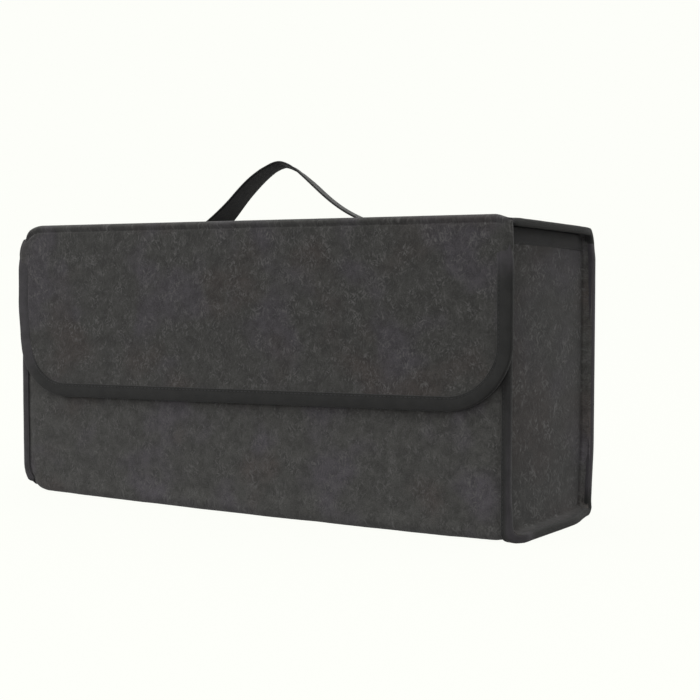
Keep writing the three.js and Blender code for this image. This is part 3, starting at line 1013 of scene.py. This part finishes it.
def thread_finish(name, colour):
    """Twisted sewing thread."""
    finish, tree, shader = new_finish(name)
    cloth = cloth_coordinates(tree)
    split = node(tree, "ShaderNodeSeparateXYZ", in_0=cloth)
    lay = maths(tree, "MULTIPLY", split.outputs[0], 9.0)
    lay = maths(tree, "ADD", lay, maths(tree, "MULTIPLY", split.outputs[1], 14.0))
    ply = maths(tree, "MULTIPLY", maths(tree, "ADD", maths(tree, "SINE", lay), 1.0), 0.5)
    light = between(tree, ply, 0.0, 1.0, 0.7, 1.35)
    base = scaled(tree, tuple(colour), light)
    tree.links.new(base, shader.inputs["Base Color"])
    bump = node(tree, "ShaderNodeBump", in_Strength=0.5, in_Distance=0.08 * MM, in_Height=ply)
    tree.links.new(bump.outputs[0], shader.inputs["Normal"])
    shader.inputs["Roughness"].default_value = 0.55
    return finish


def finish_named(name):
    """The finish of that name, made the first time it is asked for."""
    found = bpy.data.materials.get(name)
    if found:
        return found
    colours = settings().finish
    if name in TAPE_LIGHT_COATS:
        # Painted light on the end hem's fold, painted shade on every other tape's fold
        folded = PAINTED_FOLD_LIGHT if name == "end hem tape" else PAINTED_FOLD_SHADE
        return woven_finish(
            name, colours.tape, rib=0.9, sheen=0.14, rough=0.85, lit_coats=TAPE_LIGHT_COATS[name], folded=folded)
    makers = {
        # The three are one felt: their depths differ as painted light and shade, the end panels darker and
        # the walls lighter than the flap
        "wall felt": lambda: felt_finish(name, warmth=0.0, depth=1.18, fleck=0.8),
        "end felt": lambda: felt_finish(name, warmth=0.14, depth=0.78, fleck=1.0, painted_light_from=42.3),
        "flap felt": lambda: felt_finish(name, warmth=0.05, depth=0.9, fleck=0.85),
        "strap webbing": lambda: woven_finish(name, colours.webbing, rib=1.5, sheen=0.16, rough=0.66),
        "sewing thread": lambda: thread_finish(name, colours.thread),
        "loop tape": lambda: closure_finish(name, colours.closure, nap=1.0),
        "hook tape": lambda: closure_finish(name, colours.closure, nap=0.25),
    }
    return makers[name]()


# Pieces

# How close together a felt sheet has points where it is flat and in the folds of the base
FLAT_STEP = 4 * MM
FOLD_STEP = 1.4 * MM


def make_wrap(sheet):
    """Front wall, base and back wall, up to the fold at the top of the back."""
    ways = np.concatenate([
        spread(0, sheet.front_foot, FLAT_STEP)[:-1],
        spread(sheet.front_foot, sheet.base_start, FOLD_STEP)[:-1],
        spread(sheet.base_start, sheet.base_end, FLAT_STEP)[:-1],
        spread(sheet.base_end, sheet.back_foot, FOLD_STEP)[:-1],
        spread(sheet.back_foot, sheet.back_top, FLAT_STEP),
    ])
    wrap = felt_piece("wrap_felt", sheet, ways, finish_named("wall felt"))
    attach(wrap, "box")
    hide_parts("wrap_panel")


def make_back_fold(sheet):
    """The felt between the back wall and the lid, which bends when the lid opens."""
    ways = spread(sheet.back_top, sheet.lid_back, 0.8 * MM)
    fold = felt_piece("back_fold_felt", sheet, ways, finish_named("wall felt"))
    bend_back(fold)


def bend_back(piece):
    """Bakes the piece's place into its mesh."""
    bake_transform(piece)


def make_cover(sheet):
    """Lid and flap in one piece, bending at the fold between them."""
    bead_end, fold_end = sheet.flap_top + 5 * MM, sheet.flap_top + 14 * MM
    rounded = 40 * MM
    ways = np.concatenate([
        spread(sheet.lid_back, sheet.lid_front, FLAT_STEP)[:-1],
        spread(sheet.lid_front, bead_end, 0.35 * MM)[:-1],
        spread(bead_end, fold_end, 1.2 * MM)[:-1],
        spread(fold_end, sheet.flap_edge - rounded, FLAT_STEP)[:-1],
        sheet.flap_edge - rounded * (1 - np.sin(np.linspace(0, math.pi / 2, 26))),
    ])
    cover = felt_piece("lid_flap_felt", sheet, ways, finish_named("flap felt"), 190)
    bend_cover(cover)
    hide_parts("lid_panel", "flap_panel")


def bend_cover(piece):
    """Bakes the piece's place into its mesh."""
    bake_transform(piece)


# How much flatter the lid's tape is at the front fold, and how far past the lid's front it ends
FRONT_PRESS = 0.42
LID_TAPE_PAST = 0.8 * MM


def end_edge(sheet, sign):
    """Places on a tape round an end edge of the sheet, from the front rim round to the flap."""
    sewing = settings().sewing

    def place(way, d, h):
        way, d, h = np.broadcast_arrays(np.asarray(way, float), d, h)
        lid = smooth(sheet.back_top - 8 * MM, sheet.lid_back, way)
        half = sewing.seam_half + (sewing.edge_half - sewing.seam_half) * lid
        middle = (felt_half + tape_build - sewing.seam_half) * (1 - lid)
        at_fold = bell((sheet.lid_front + sheet.flap_top) / 2, 9 * MM, way)
        edge = body_end_x + (lid_end_x - body_end_x) * lid
        x = sign * (edge - d)
        calm = bulge(sheet, sign * (edge - 20 * MM), way) * 0.5 - bulge(sheet, x, way)
        height = middle + h * half / sewing.seam_half + calm * (1 - lid)
        return on_sheet(sheet, x, way, height * (1 - FRONT_PRESS * at_fold))

    return place


def end_ways(sheet, start, end):
    """Ways along the end edge, close together where it bends."""
    marks = [start]
    for mark in (sheet.front_foot, sheet.base_start, sheet.base_end, sheet.back_foot,
                 sheet.back_top, sheet.lid_back, sheet.lid_front, sheet.flap_top):
        if start < mark < end:
            marks.append(mark)
    marks.append(end)
    bends = [(sheet.front_foot, sheet.base_start), (sheet.base_end, sheet.back_foot),
             (sheet.back_top, sheet.lid_back), (sheet.lid_front, sheet.flap_top)]
    ways = []
    for a, b in zip(marks, marks[1:]):
        folded = any(low - 1e-9 <= a and b <= high + 1e-9 for low, high in bends)
        ways.append(spread(a, b, 1 * MM if folded else FLAT_STEP)[:-1])
    return np.concatenate(ways + [[end]])


def make_end_tapes(sheet):
    """The tape round each end: over the seam, round the back fold and along the lid."""
    sewing = settings().sewing
    section = tape_section(seam_cover, sewing.seam_half, sewing.tape, sewing.stitch_inset)
    stretches = (
        ("seam", -tape_build, sheet.back_top), ("fold", sheet.back_top, sheet.lid_back),
        ("lid", sheet.lid_back, sheet.lid_front + LID_TAPE_PAST))
    for side, sign in (("left", -1), ("right", 1)):
        oriented = section if sign > 0 else section[::-1]
        place = end_edge(sheet, sign)
        for kind, start, end in stretches:
            build = Build()
            tape_run(build, place, end_ways(sheet, start, end), oriented)
            stitch_tape(build, moved(place, start), end - start, section)
            woven = "binding tape" if kind == "fold" else f"{side} {kind} tape"
            tape = build.sewn(f"{side}_{kind}_tape", woven)
            if kind == "seam":
                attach(tape, "box")
                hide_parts(f"{side}_end_binding")
            elif kind == "lid":
                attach(tape, "lid")
                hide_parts(f"{side}_lid_binding")
            else:
                bend_back(tape)


# Rows and columns of an end panel's plate, the radius of its turned edge and the thickness of its felt
END_TALL, END_WIDE = 60, 42
END_TURN = 2.2 * MM
END_THICKNESS = 2.4 * MM

# How far the middle of the plate stands out, and how high its uneven waves are
END_BELLY, END_WAVES = 2.2 * MM, 0.35 * MM

# How the felt of the ends was cut: its hairs lie longer than on the walls, and each end has its own
END_LAY = np.array([0.55, 0.85])
END_CUT_APART = 300 * MM


def end_outline():
    """The seam line of an end panel, from the front rim down, round the base and up to the back rim."""
    inset = 5.0 * MM
    radius = 2.8 * MM
    front, back, bottom = wrap_low.y + inset, wrap_high.y - inset, wrap_low.z + inset
    line = Line(front, front_rim_z, (0, -1))
    foot = line.straight(front_rim_z - bottom - radius)
    base = line.turn(radius)
    base_end = line.straight(back - front - 2 * radius)
    back_foot = line.turn(radius)
    top = line.straight(front_rim_z - bottom - radius)
    front_corner, back_corner = (foot + base) / 2, (base_end + back_foot) / 2
    ways = np.concatenate([
        np.linspace(0, front_corner, END_TALL)[:-1],
        np.linspace(front_corner, back_corner, END_WIDE)[:-1],
        np.linspace(back_corner, top, END_TALL),
    ])
    return line.point(ways)


def end_plate(place, out):
    """The flat of an end panel, between the roots of its turned edge: places (Y, Z), and how slack it is."""
    u = np.linspace(0, 1, END_WIDE)[None, :, None]
    v = np.linspace(0, 1, END_TALL)[:, None, None]
    root = place - END_TURN * out
    front = root[:END_TALL]
    base = root[END_TALL - 1:END_TALL + END_WIDE - 1]
    back = root[END_TALL + END_WIDE - 2:][::-1]
    top = front[0] + (back[0] - front[0]) * np.linspace(0, 1, END_WIDE)[:, None]
    plate = ((1 - u) * front[:, None] + u * back[:, None] + (1 - v) * top[None] + v * base[None]
             - (1 - u) * (1 - v) * front[0] - u * (1 - v) * back[0]
             - (1 - u) * v * front[-1] - u * v * back[-1])
    return plate, np.sin(u * math.pi) * np.sin((0.12 + 0.88 * v) * math.pi)


def make_end_panel(side, sign):
    """An end panel: a felt plate that stands back, with its edge turned outward into the seam."""
    place, out = end_outline()
    count = len(place)
    depth = body_end_x - tape_build - end_plate_x
    turned = [(END_TURN * (1 - math.sin(angle)), END_TURN * (1 - math.cos(angle)))
              for angle in np.linspace(0, math.pi / 2, 5)[1:]]
    plate, span = end_plate(place, out)
    flat = plate.reshape(-1, 2)
    uneven = waves(plate[:, :, 0:1], plate[:, :, 1:2], 2.3 + sign) * np.minimum(1, span * 4)
    proud = (END_BELLY * span + END_WAVES * uneven).reshape(-1)
    points = [np.stack([sign * (end_plate_x + proud), flat[:, 0], flat[:, 1]], 1)]
    apart = np.array([0.0, END_CUT_APART * sign])
    cuts = [flat * END_LAY + apart]
    faces = []
    for i in range(END_TALL - 1):
        for j in range(END_WIDE - 1):
            a = i * END_WIDE + j
            faces.append((a, a + END_WIDE, a + END_WIDE + 1, a + 1))
    ring = [i * END_WIDE for i in range(END_TALL)]
    ring += [(END_TALL - 1) * END_WIDE + j for j in range(1, END_WIDE)]
    ring += [i * END_WIDE + END_WIDE - 1 for i in range(END_TALL - 2, -1, -1)]
    total = len(flat)
    for inward, outward in turned + [(0, depth * 0.6), (0, depth)]:
        edge = place - out * inward
        x = np.full(count, sign * (end_plate_x + outward))
        points.append(np.stack([x, edge[:, 0], edge[:, 1]], 1))
        cuts.append((place + out * outward) * END_LAY + apart)
        previous, ring = ring, list(range(total, total + count))
        for k in range(count - 1):
            faces.append((previous[k], ring[k], ring[k + 1], previous[k + 1]))
        total += count
    if sign < 0:
        faces = [tuple(reversed(f)) for f in faces]
    panel = make_object(f"{side}_end_felt", settle(np.concatenate(points)), faces,
                        [finish_named("end felt")], np.concatenate(cuts))
    thick = panel.modifiers.new("felt", "SOLIDIFY")
    thick.thickness = END_THICKNESS
    thick.offset = -1
    apply_modifiers(panel)
    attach(panel, "box")
    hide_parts(f"{side}_end_panel")


def apply_modifiers(obj):
    """Leaves the mesh as its modifiers make it."""
    graph = bpy.context.evaluated_depsgraph_get()
    made = bpy.data.meshes.new_from_object(obj.evaluated_get(graph))
    made.name = obj.name
    obj.modifiers.clear()
    obj.data = made


# How far apart a straight hem has its sections
HEM_STEP = 5 * MM


def make_front_hem(sheet):
    """The tape over the front wall's top edge."""
    sewing = settings().sewing
    cover = front_hem_high.z - front_hem_low.z
    section = tape_section(cover, felt_half + 1.0 * MM, sewing.tape, sewing.stitch_inset)

    def place(way, d, h):
        return on_sheet(sheet, way, d - tape_build, h)

    build = Build()
    start, end = front_hem_low.x, front_hem_high.x
    tape_run(build, place, spread(start, end, HEM_STEP), section)
    stitch_tape(build, moved(place, start), end - start, section)
    hem = build.sewn("front_rim_tape", "binding tape")
    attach(hem, "box")
    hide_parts("front_hem")


# How much longer an end's hem is than its frame piece at each end, and how much higher than the front hem
END_HEM_LONGER = 1.5 * MM
END_HEM_HIGHER = 0.9 * MM


def make_end_hem(side, sign):
    """The tape over an end panel's top edge, from seam to seam."""
    sewing = settings().sewing
    section = tape_section(sewing.end_hem, felt_half + 0.9 * MM, sewing.tape, sewing.stitch_inset)
    middle = end_plate_x - felt_half + 0.4 * MM
    front, back = end_hem_low.y - END_HEM_LONGER, end_hem_high.y + END_HEM_LONGER
    top = front_hem_high.z + END_HEM_HIGHER

    def place(way, d, h):
        y, d, h = np.broadcast_arrays(way + front, d, h)
        proud = 0.5 * MM * np.sin(np.clip(way / (back - front), 0, 1) * math.pi)
        return settle(np.stack([sign * (middle + h + proud), y, top - d], 1))

    build = Build()
    oriented = section if sign > 0 else section[::-1]
    tape_run(build, place, spread(0, back - front, HEM_STEP), oriented[::-1])
    stitch_tape(build, place, back - front, section)
    hem = build.sewn(f"{side}_end_rim_tape", "end hem tape")
    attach(hem, "box")
    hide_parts(f"{side}_end_hem")


def flap_edge_path(sheet, start):
    """The flap's outer edge from the left round to the right, and its length.

    A place on it is an x, a way along the sheet, and the direction inward in both.
    """
    felt = settings().felt
    radius = felt.flap_corner
    side, bottom = lid_end_x, sheet.flap_edge + tape_build
    down = bottom - radius - start
    arc = radius * math.pi / 2
    across = 2 * (side - radius)
    total = 2 * down + 2 * arc + across

    def at(way):
        way = np.asarray(way, float)
        mirrored = way > total / 2
        w = np.where(mirrored, total - way, way)
        angle = np.clip((w - down) / radius, 0, math.pi / 2)
        x = -side + radius * (1 - np.cos(angle)) + np.maximum(w - down - arc, 0)
        s = start + np.minimum(w, down) + radius * np.sin(angle)
        inward_x, inward_s = np.cos(angle), -np.sin(angle)
        turn = np.where(mirrored, -1, 1)
        return x * turn, s, inward_x * turn, inward_s

    return at, total


# How far above its frame piece the flap's tape begins, how long it tapers, and its height at the left
FLAP_TAPE_HIGHER = 11 * MM
FLAP_TAPE_TAPER = 24 * MM
LEFT_PRESS = 0.72


def make_flap_tape(sheet):
    """One tape round the flap. It starts a little below the fold, tapering out of the felt."""
    sewing = settings().sewing
    below = front_pivot.z - flap_tape_high.z
    start = sheet.flap_top + below - settings().felt.front_fold - FLAP_TAPE_HIGHER
    edge, total = flap_edge_path(sheet, start)

    def place(way, d, h):
        way, d, h = np.broadcast_arrays(np.asarray(way, float), d, h)
        x, s, inward_x, inward_s = edge(way)
        whole = smooth(0, FLAP_TAPE_TAPER, np.minimum(way, total - way))
        pressed = LEFT_PRESS + (1 - LEFT_PRESS) * smooth(90 * MM, 140 * MM, way)
        d = d + 1.6 * tape_build * (1 - whole)
        h = h * (0.25 + 0.75 * whole) * pressed
        return on_sheet(sheet, x + inward_x * d, s + inward_s * d, h)

    build = Build()
    section = tape_section(sewing.flap_cover, sewing.edge_half, sewing.tape, sewing.stitch_inset)
    tape_run(build, place, spread(0, total, 2.2 * MM), section[::-1])
    stitch_tape(build, place, total, section)
    tape = build.sewn("flap_edge_tape", "flap tape")
    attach(tape, "flap")
    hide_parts("flap_binding")


# How the strap bends and turns. Pulls are shares of a limb's length and rise, near its start and its end.
# Turns are shares of the whole way between the feet.
LEFT_PULLS = (0.359, 0.319), (0.332, 0)
RIGHT_PULLS = (0.246, 0), (0.373, 0.136)
LEFT_TURNS = 0.2, 0.386, 0.463
RIGHT_TURNS = 0.327, 0.519, 0.589

# Steps along the strap's limbs and tabs, and over its width
LEFT_LIMB_STEPS, RIGHT_LIMB_STEPS, TAB_STEPS = 60, 70, 14
WIDTH_STEPS = 17

# The strap's webbing, how high its middle lies over the felt, and how far it is cupped across
STRAP_HALF_WIDTH = 19 * MM
STRAP_HALF_THICKNESS = 0.8 * MM
STRAP_OVER_FELT = 1.1 * MM
STRAP_CUP = 0.5 * MM


def bezier(corners, steps):
    """Places along a curve that its two inner corners pull."""
    t = np.linspace(0, 1, steps)[:, None]
    a, b, c, d = np.array(corners, float)
    return (1 - t) ** 3 * a + 3 * (1 - t) ** 2 * t * b + 3 * (1 - t) * t ** 2 * c + t ** 3 * d


def strap_line():
    """The strap's middle line above the lid, and how far it is twisted at each place."""
    strap = settings().strap
    low = front_pivot.z + felt_half + STRAP_OVER_FELT
    top = low + strap.rise
    left, right, apex = strap.left_foot_x, strap.right_foot_x, strap.apex_x
    (near, raised), (far, _) = LEFT_PULLS
    limb_left = bezier((
        (left, low), (left + near * (apex - left), low + raised * strap.rise),
        (apex + far * (left - apex), top), (apex, top)), LEFT_LIMB_STEPS)
    (near, _), (far, raised) = RIGHT_PULLS
    limb_right = bezier((
        (apex, top), (apex + near * (right - apex), top),
        (apex + far * (right - apex), low + raised * strap.rise), (right, low)), RIGHT_LIMB_STEPS)
    flat = np.full(TAB_STEPS, low)
    tab_left = np.stack([np.linspace(strap_low.x, left, TAB_STEPS), flat], 1)
    tab_right = np.stack([np.linspace(right, strap_high.x, TAB_STEPS), flat], 1)
    line = np.concatenate([tab_left[:-1], limb_left[:-1], limb_right[:-1], tab_right])
    way = np.concatenate([[0], np.cumsum(np.linalg.norm(np.diff(line, axis=0), axis=1))])
    first, last = way[len(tab_left) - 1], way[-len(tab_right)]
    share = (way - first) / (last - first)
    rise, fall, end = LEFT_TURNS
    turned = strap.left_twist * smooth(0, rise, share) * (1 - smooth(fall, end, share))
    start, full, back = RIGHT_TURNS
    turned -= strap.right_twist * smooth(start, full, share) * (1 - smooth(back, 1, share))
    return line, turned


def strap_section():
    """The webbing's section, round from its left edge, with a thicker selvage at both edges."""
    half, thick = STRAP_HALF_WIDTH, STRAP_HALF_THICKNESS
    top = []
    for j in np.linspace(-1, 1, WIDTH_STEPS):
        top.append((j * (half - thick * 0.5), thick * (1 + 0.18 * bell(0.93, 0.05, abs(j)) - 0.06)))
    right_edge = [(half, 0.3 * thick), (half, -0.3 * thick)]
    left_edge = [(-half, -0.3 * thick), (-half, 0.3 * thick)]
    return np.array(top + right_edge + [(w, -t) for w, t in reversed(top)] + left_edge)


def make_strap():
    """Woven strap with rounded edges, sewn to the lid at both tabs with a box and a cross."""
    line, turned = strap_line()
    for _ in range(3):
        middle = 0.25 * line[:-2] + 0.5 * line[1:-1] + 0.25 * line[2:]
        line = np.concatenate([line[:1], middle, line[-1:]])
    ahead = np.gradient(line, axis=0)
    ahead /= np.linalg.norm(ahead, axis=1)[:, None]
    along = np.stack([ahead[:, 0], np.zeros(len(line)), ahead[:, 1]], 1)
    up = np.stack([-ahead[:, 1], np.zeros(len(line)), ahead[:, 0]], 1)
    side = np.array([0.0, 1.0, 0.0])
    wide = np.cos(turned)[:, None] * side + np.sin(turned)[:, None] * np.cross(along, side)
    rise = np.cross(along, wide)
    rise = rise * np.sign((rise * up).sum(1))[:, None]
    section = strap_section()
    way = np.concatenate([[0], np.cumsum(np.linalg.norm(np.diff(line, axis=0), axis=1))])
    centre = np.stack([line[:, 0], np.zeros(len(line)), line[:, 1]], 1)
    cup = STRAP_CUP * np.sin(way / way[-1] * math.pi)[:, None, None]
    over, height = section[None, :, :1], section[None, :, 1:]
    height = height + cup * (over / STRAP_HALF_WIDTH) ** 2
    points = centre[:, None] + wide[:, None] * over + rise[:, None] * height
    corners = len(section)
    faces = tube_faces(len(line), corners)
    faces.append(tuple(reversed(range(corners))))
    faces.append(tuple(range((len(line) - 1) * corners, len(line) * corners)))
    cuts = np.stack([np.repeat(way, corners), np.tile(section[:, 0], len(line))], 1)
    build = Build()
    build.add(lay_strap(points.reshape(-1, 3)), [tuple(reversed(f)) for f in faces], cuts)
    strap = settings().strap
    top = line[0][1] + STRAP_HALF_THICKNESS + 0.1 * MM
    sew_tab(build, strap_low.x, strap.left_foot_x, top)
    sew_tab(build, strap.right_foot_x, strap_high.x, top)
    piece = build.sewn("carry_strap", "strap webbing")
    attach(piece, "lid")
    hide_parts("handle_strap")


def lay_strap(points):
    """Leans and lowers the strap with the lid that it is sewn to, without bending it."""
    felt = settings().felt
    tilt = math.atan2(back_drop, back_pivot.y - front_pivot.y)
    y, z = points[:, 1], points[:, 2] - front_pivot.z
    low = back_drop / 2 + felt.left_drop / 2 + felt.lid_sag - 0.2 * MM
    return np.stack([
        points[:, 0], y * math.cos(tilt) + z * math.sin(tilt),
        front_pivot.z - low - y * math.sin(tilt) + z * math.cos(tilt)], 1)


def sew_tab(build, start, end, top):
    """A box of stitches with a cross in it, on a tab of the strap."""
    margin = 4 * MM
    low_x, high_x = start + margin, end - margin
    half = STRAP_HALF_WIDTH - margin
    corners = [(low_x, -half), (high_x, -half), (high_x, half), (low_x, half)]
    rows = [(corners[i], corners[(i + 1) % 4]) for i in range(4)]
    rows += [(corners[0], corners[2]), (corners[1], corners[3])]
    stitch_rows(build, rows, lambda x, y, h: lay_strap(np.stack([x, y, top + h], 1)))


# Steps over a pad of hook or loop tape, and how much thinner it is at its very edge
PAD_STEPS = 13, 9
PAD_EDGE = 0.35
PAD_SOFTENED = 2.5 * MM


def patch_solid(build, low, high, place):
    """A thin pad with softened edges between two corners of a flat cut."""
    u = np.linspace(low[0], high[0], PAD_STEPS[0])
    v = np.linspace(low[1], high[1], PAD_STEPS[1])
    grid_u, grid_v = (g.ravel() for g in np.meshgrid(u, v))
    edge = np.minimum.reduce([grid_u - low[0], high[0] - grid_u, grid_v - low[1], high[1] - grid_v])
    crown = PAD_EDGE + (1 - PAD_EDGE) * smooth(0, PAD_SOFTENED, edge)

    def side_points(side):
        return place(grid_u, grid_v, side, crown)

    points, faces, cuts = grid_solid(*PAD_STEPS, side_points, np.stack([grid_u, grid_v], 1))
    build.add(points, faces, cuts)


# How far a closure's pad lies off the felt, and how far in from its edge it is sewn
PAD_OFF_FELT = 0.05 * MM
PAD_STITCH_INSET = 2.2 * MM


def make_closures(sheet):
    """Loop pads on the front wall and hook pads inside the flap, each sewn round its edge."""
    flap_top = sheet.flap_top - settings().felt.front_fold + front_pivot.z
    for kind, body, top, sign in (("loop", "box", front_rim_z, 1), ("hook", "flap", flap_top, -1)):
        for side in ("left", "right"):
            name = f"{side}_{kind}_patch"
            low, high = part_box(name)
            near, far = top - high.z, top - low.z
            thick = high.y - low.y
            base = felt_half + PAD_OFF_FELT

            def place(x, s, face, crown):
                return on_sheet(sheet, x, s, sign * (base + thick * (crown if face > 0 else 0)))

            def sewn_place(x, s, h):
                return on_sheet(sheet, x, s, sign * (base + thick + np.abs(h)))

            build = Build()
            patch_solid(build, (low.x, near), (high.x, far), place)
            left, right = low.x + PAD_STITCH_INSET, high.x - PAD_STITCH_INSET
            upper, lower = near + PAD_STITCH_INSET, far - PAD_STITCH_INSET
            stitch_rows(build, (
                ((left, upper), (right, upper)), ((left, lower), (right, lower)),
                ((left, upper), (left, lower)), ((right, upper), (right, lower))), sewn_place)
            patch = build.sewn(f"{side}_{kind}_pad", f"{kind} tape")
            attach(patch, body)
            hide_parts(name)


def make_grips():
    """Hook strips under the base."""
    for side in ("left", "right"):
        name = f"{side}_base_grip"
        low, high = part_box(name)
        build = Build()

        def place(x, y, face, crown):
            z = np.full(len(x), high.z) if face > 0 else high.z - (high.z - low.z) * crown
            return np.stack([x, y, z], 1)

        patch_solid(build, (low.x, low.y), (high.x, high.y), place)
        grip = build.object(f"{side}_grip_strip", "hook tape")
        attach(grip, "box")
        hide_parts(name)


# Studio

# Each light's name, place, setting for its power, and size in metres, and the place that all of them face
LIGHTS = (
    ("key", (-1.45, -1.35, 0.75), "key_power", 1.5),
    ("fill", (0.9, -2.1, 0.6), "fill_power", 1.0),
    ("top", (0.1, 0.2, 2.1), "rim_power", 1.8),
)
LIGHT_AIM = Vector((0, 0, 0.12))

# Half the floor's width in metres, and how much of the backdrop's brightness it has before the lights
FLOOR_HALF = 60.0
FLOOR_GLOW = 0.975


def make_studio():
    """Camera, surround, floor and lights."""
    studio = settings().studio
    scene = bpy.context.scene
    scene.view_settings.view_transform = "Standard"
    camera = bpy.data.cameras.new("camera")
    camera.lens = studio.lens
    camera.sensor_width = 36
    camera_object = bpy.data.objects.new("camera", camera)
    camera_object.location = studio.camera_place
    camera_object.rotation_euler = Euler((math.pi / 2 - studio.pitch, 0, studio.azimuth))
    scene.collection.objects.link(camera_object)
    scene.camera = camera_object

    world = bpy.data.worlds.new("studio")
    world.use_nodes = True
    tree = world.node_tree
    background = tree.nodes["Background"]
    background.inputs[0].default_value = (1.0, 1.0, 0.965, 1)
    backdrop = node(tree, "ShaderNodeBackground", in_Color=(*BACKDROP, 1))
    ahead = node(tree, "ShaderNodeTexCoord").outputs["Generated"]
    height = node(tree, "ShaderNodeSeparateXYZ", in_0=ahead).outputs[2]
    below = between(tree, height, -0.16, -0.02, studio.ground_light, 1.0)
    above = between(tree, height, 0.3, 0.9, 1.0, studio.sky_light)
    around = maths(tree, "MULTIPLY", maths(tree, "MULTIPLY", below, above), studio.soft_light)
    tree.links.new(around, background.inputs[1])
    seen = node(tree, "ShaderNodeLightPath").outputs["Is Camera Ray"]
    both = node(tree, "ShaderNodeMixShader", in_0=seen, in_1=background.outputs[0],
                in_2=backdrop.outputs[0])
    tree.links.new(both.outputs[0], tree.nodes["World Output"].inputs[0])
    scene.world = world

    corners = [(FLOOR_HALF * a, FLOOR_HALF * b, 0) for a, b in ((-1, -1), (1, -1), (1, 1), (-1, 1))]
    finish, _, shader = new_finish("pale floor")
    shader.inputs["Base Color"].default_value = (0.03, 0.03, 0.03, 1)
    shader.inputs["Roughness"].default_value = 0.9
    shader.inputs["Emission Color"].default_value = (*BACKDROP, 1)
    shader.inputs["Emission Strength"].default_value = FLOOR_GLOW
    shader.inputs["Specular IOR Level"].default_value = 0.0
    floor = make_object("floor", corners, [(0, 1, 2, 3)], [finish])
    floor.visible_diffuse = False
    floor.visible_glossy = False

    for name, place, power, extent in LIGHTS:
        light = bpy.data.lights.new(name, "AREA")
        light.energy = getattr(studio, power)
        light.size = extent
        lamp = bpy.data.objects.new(name, light)
        lamp.location = place
        lamp.rotation_euler = (LIGHT_AIM - Vector(place)).to_track_quat("-Z", "Y").to_euler()
        scene.collection.objects.link(lamp)


# Operators, panel and main

class ORGANIZER_OT_walls(bpy.types.Operator):
    """Makes the folded felt of the walls and base, and the felt end panels"""

    bl_idname = "organizer.walls"
    bl_label = "Walls and Ends"

    def execute(self, context):
        make_wrap(Sheet())
        for side, sign in (("left", -1), ("right", 1)):
            make_end_panel(side, sign)
        return {"FINISHED"}


class ORGANIZER_OT_cover(bpy.types.Operator):
    """Makes the lid and flap, and the felt that bends between the back wall and the lid"""

    bl_idname = "organizer.cover"
    bl_label = "Lid and Flap"

    def execute(self, context):
        make_cover(Sheet())
        make_back_fold(Sheet())
        return {"FINISHED"}


class ORGANIZER_OT_tapes(bpy.types.Operator):
    """Makes the binding tapes of the end seams, rims, lid and flap, with their stitches"""

    bl_idname = "organizer.tapes"
    bl_label = "Binding Tapes"

    def execute(self, context):
        make_end_tapes(Sheet())
        make_front_hem(Sheet())
        for side, sign in (("left", -1), ("right", 1)):
            make_end_hem(side, sign)
        make_flap_tape(Sheet())
        return {"FINISHED"}


class ORGANIZER_OT_strap(bpy.types.Operator):
    """Makes the carrying strap and the stitches of its tabs"""

    bl_idname = "organizer.strap"
    bl_label = "Carrying Strap"

    def execute(self, context):
        make_strap()
        return {"FINISHED"}


class ORGANIZER_OT_closures(bpy.types.Operator):
    """Makes the hook and loop pads of the flap and the hook strips under the base"""

    bl_idname = "organizer.closures"
    bl_label = "Closures and Grips"

    def execute(self, context):
        make_closures(Sheet())
        make_grips()
        return {"FINISHED"}


class ORGANIZER_OT_studio(bpy.types.Operator):
    """Makes the floor, the light and the camera"""

    bl_idname = "organizer.studio"
    bl_label = "Studio"

    def execute(self, context):
        make_studio()
        return {"FINISHED"}


class ORGANIZER_PT_panel(bpy.types.Panel):
    """Lists the organizer's settings and operators"""

    bl_idname = "ORGANIZER_PT_panel"
    bl_label = "Felt Trunk Organizer"
    bl_space_type = "VIEW_3D"
    bl_region_type = "UI"
    bl_category = "Organizer"

    def draw(self, context):
        layout = self.layout
        for title in ("felt", "sewing", "strap", "finish", "studio"):
            group = getattr(context.scene.organizer, title)
            box = layout.box()
            box.label(text=title.title())
            for name in group.__annotations__:
                box.prop(group, name)
        for operator in OPERATORS:
            layout.operator(operator.bl_idname)


OPERATORS = (
    ORGANIZER_OT_walls, ORGANIZER_OT_cover, ORGANIZER_OT_tapes,
    ORGANIZER_OT_strap, ORGANIZER_OT_closures, ORGANIZER_OT_studio,
)
CLASSES = (
    OrganizerFelt, OrganizerSewing, OrganizerStrap, OrganizerFinish, OrganizerStudio, OrganizerSettings,
    *OPERATORS, ORGANIZER_PT_panel,
)


def register():
    """Makes the settings, operators and panel known."""
    for cls in CLASSES:
        bpy.utils.register_class(cls)
    bpy.types.Scene.organizer = PointerProperty(type=OrganizerSettings)


def unregister():
    """Takes them away again."""
    del bpy.types.Scene.organizer
    for cls in reversed(CLASSES):
        bpy.utils.unregister_class(cls)


def main():
    """Makes every piece and the studio."""
    register()
    bpy.ops.organizer.walls()
    bpy.ops.organizer.cover()
    bpy.ops.organizer.tapes()
    bpy.ops.organizer.strap()
    bpy.ops.organizer.closures()
    bpy.ops.organizer.studio()


if __name__ == "__main__":
    main()
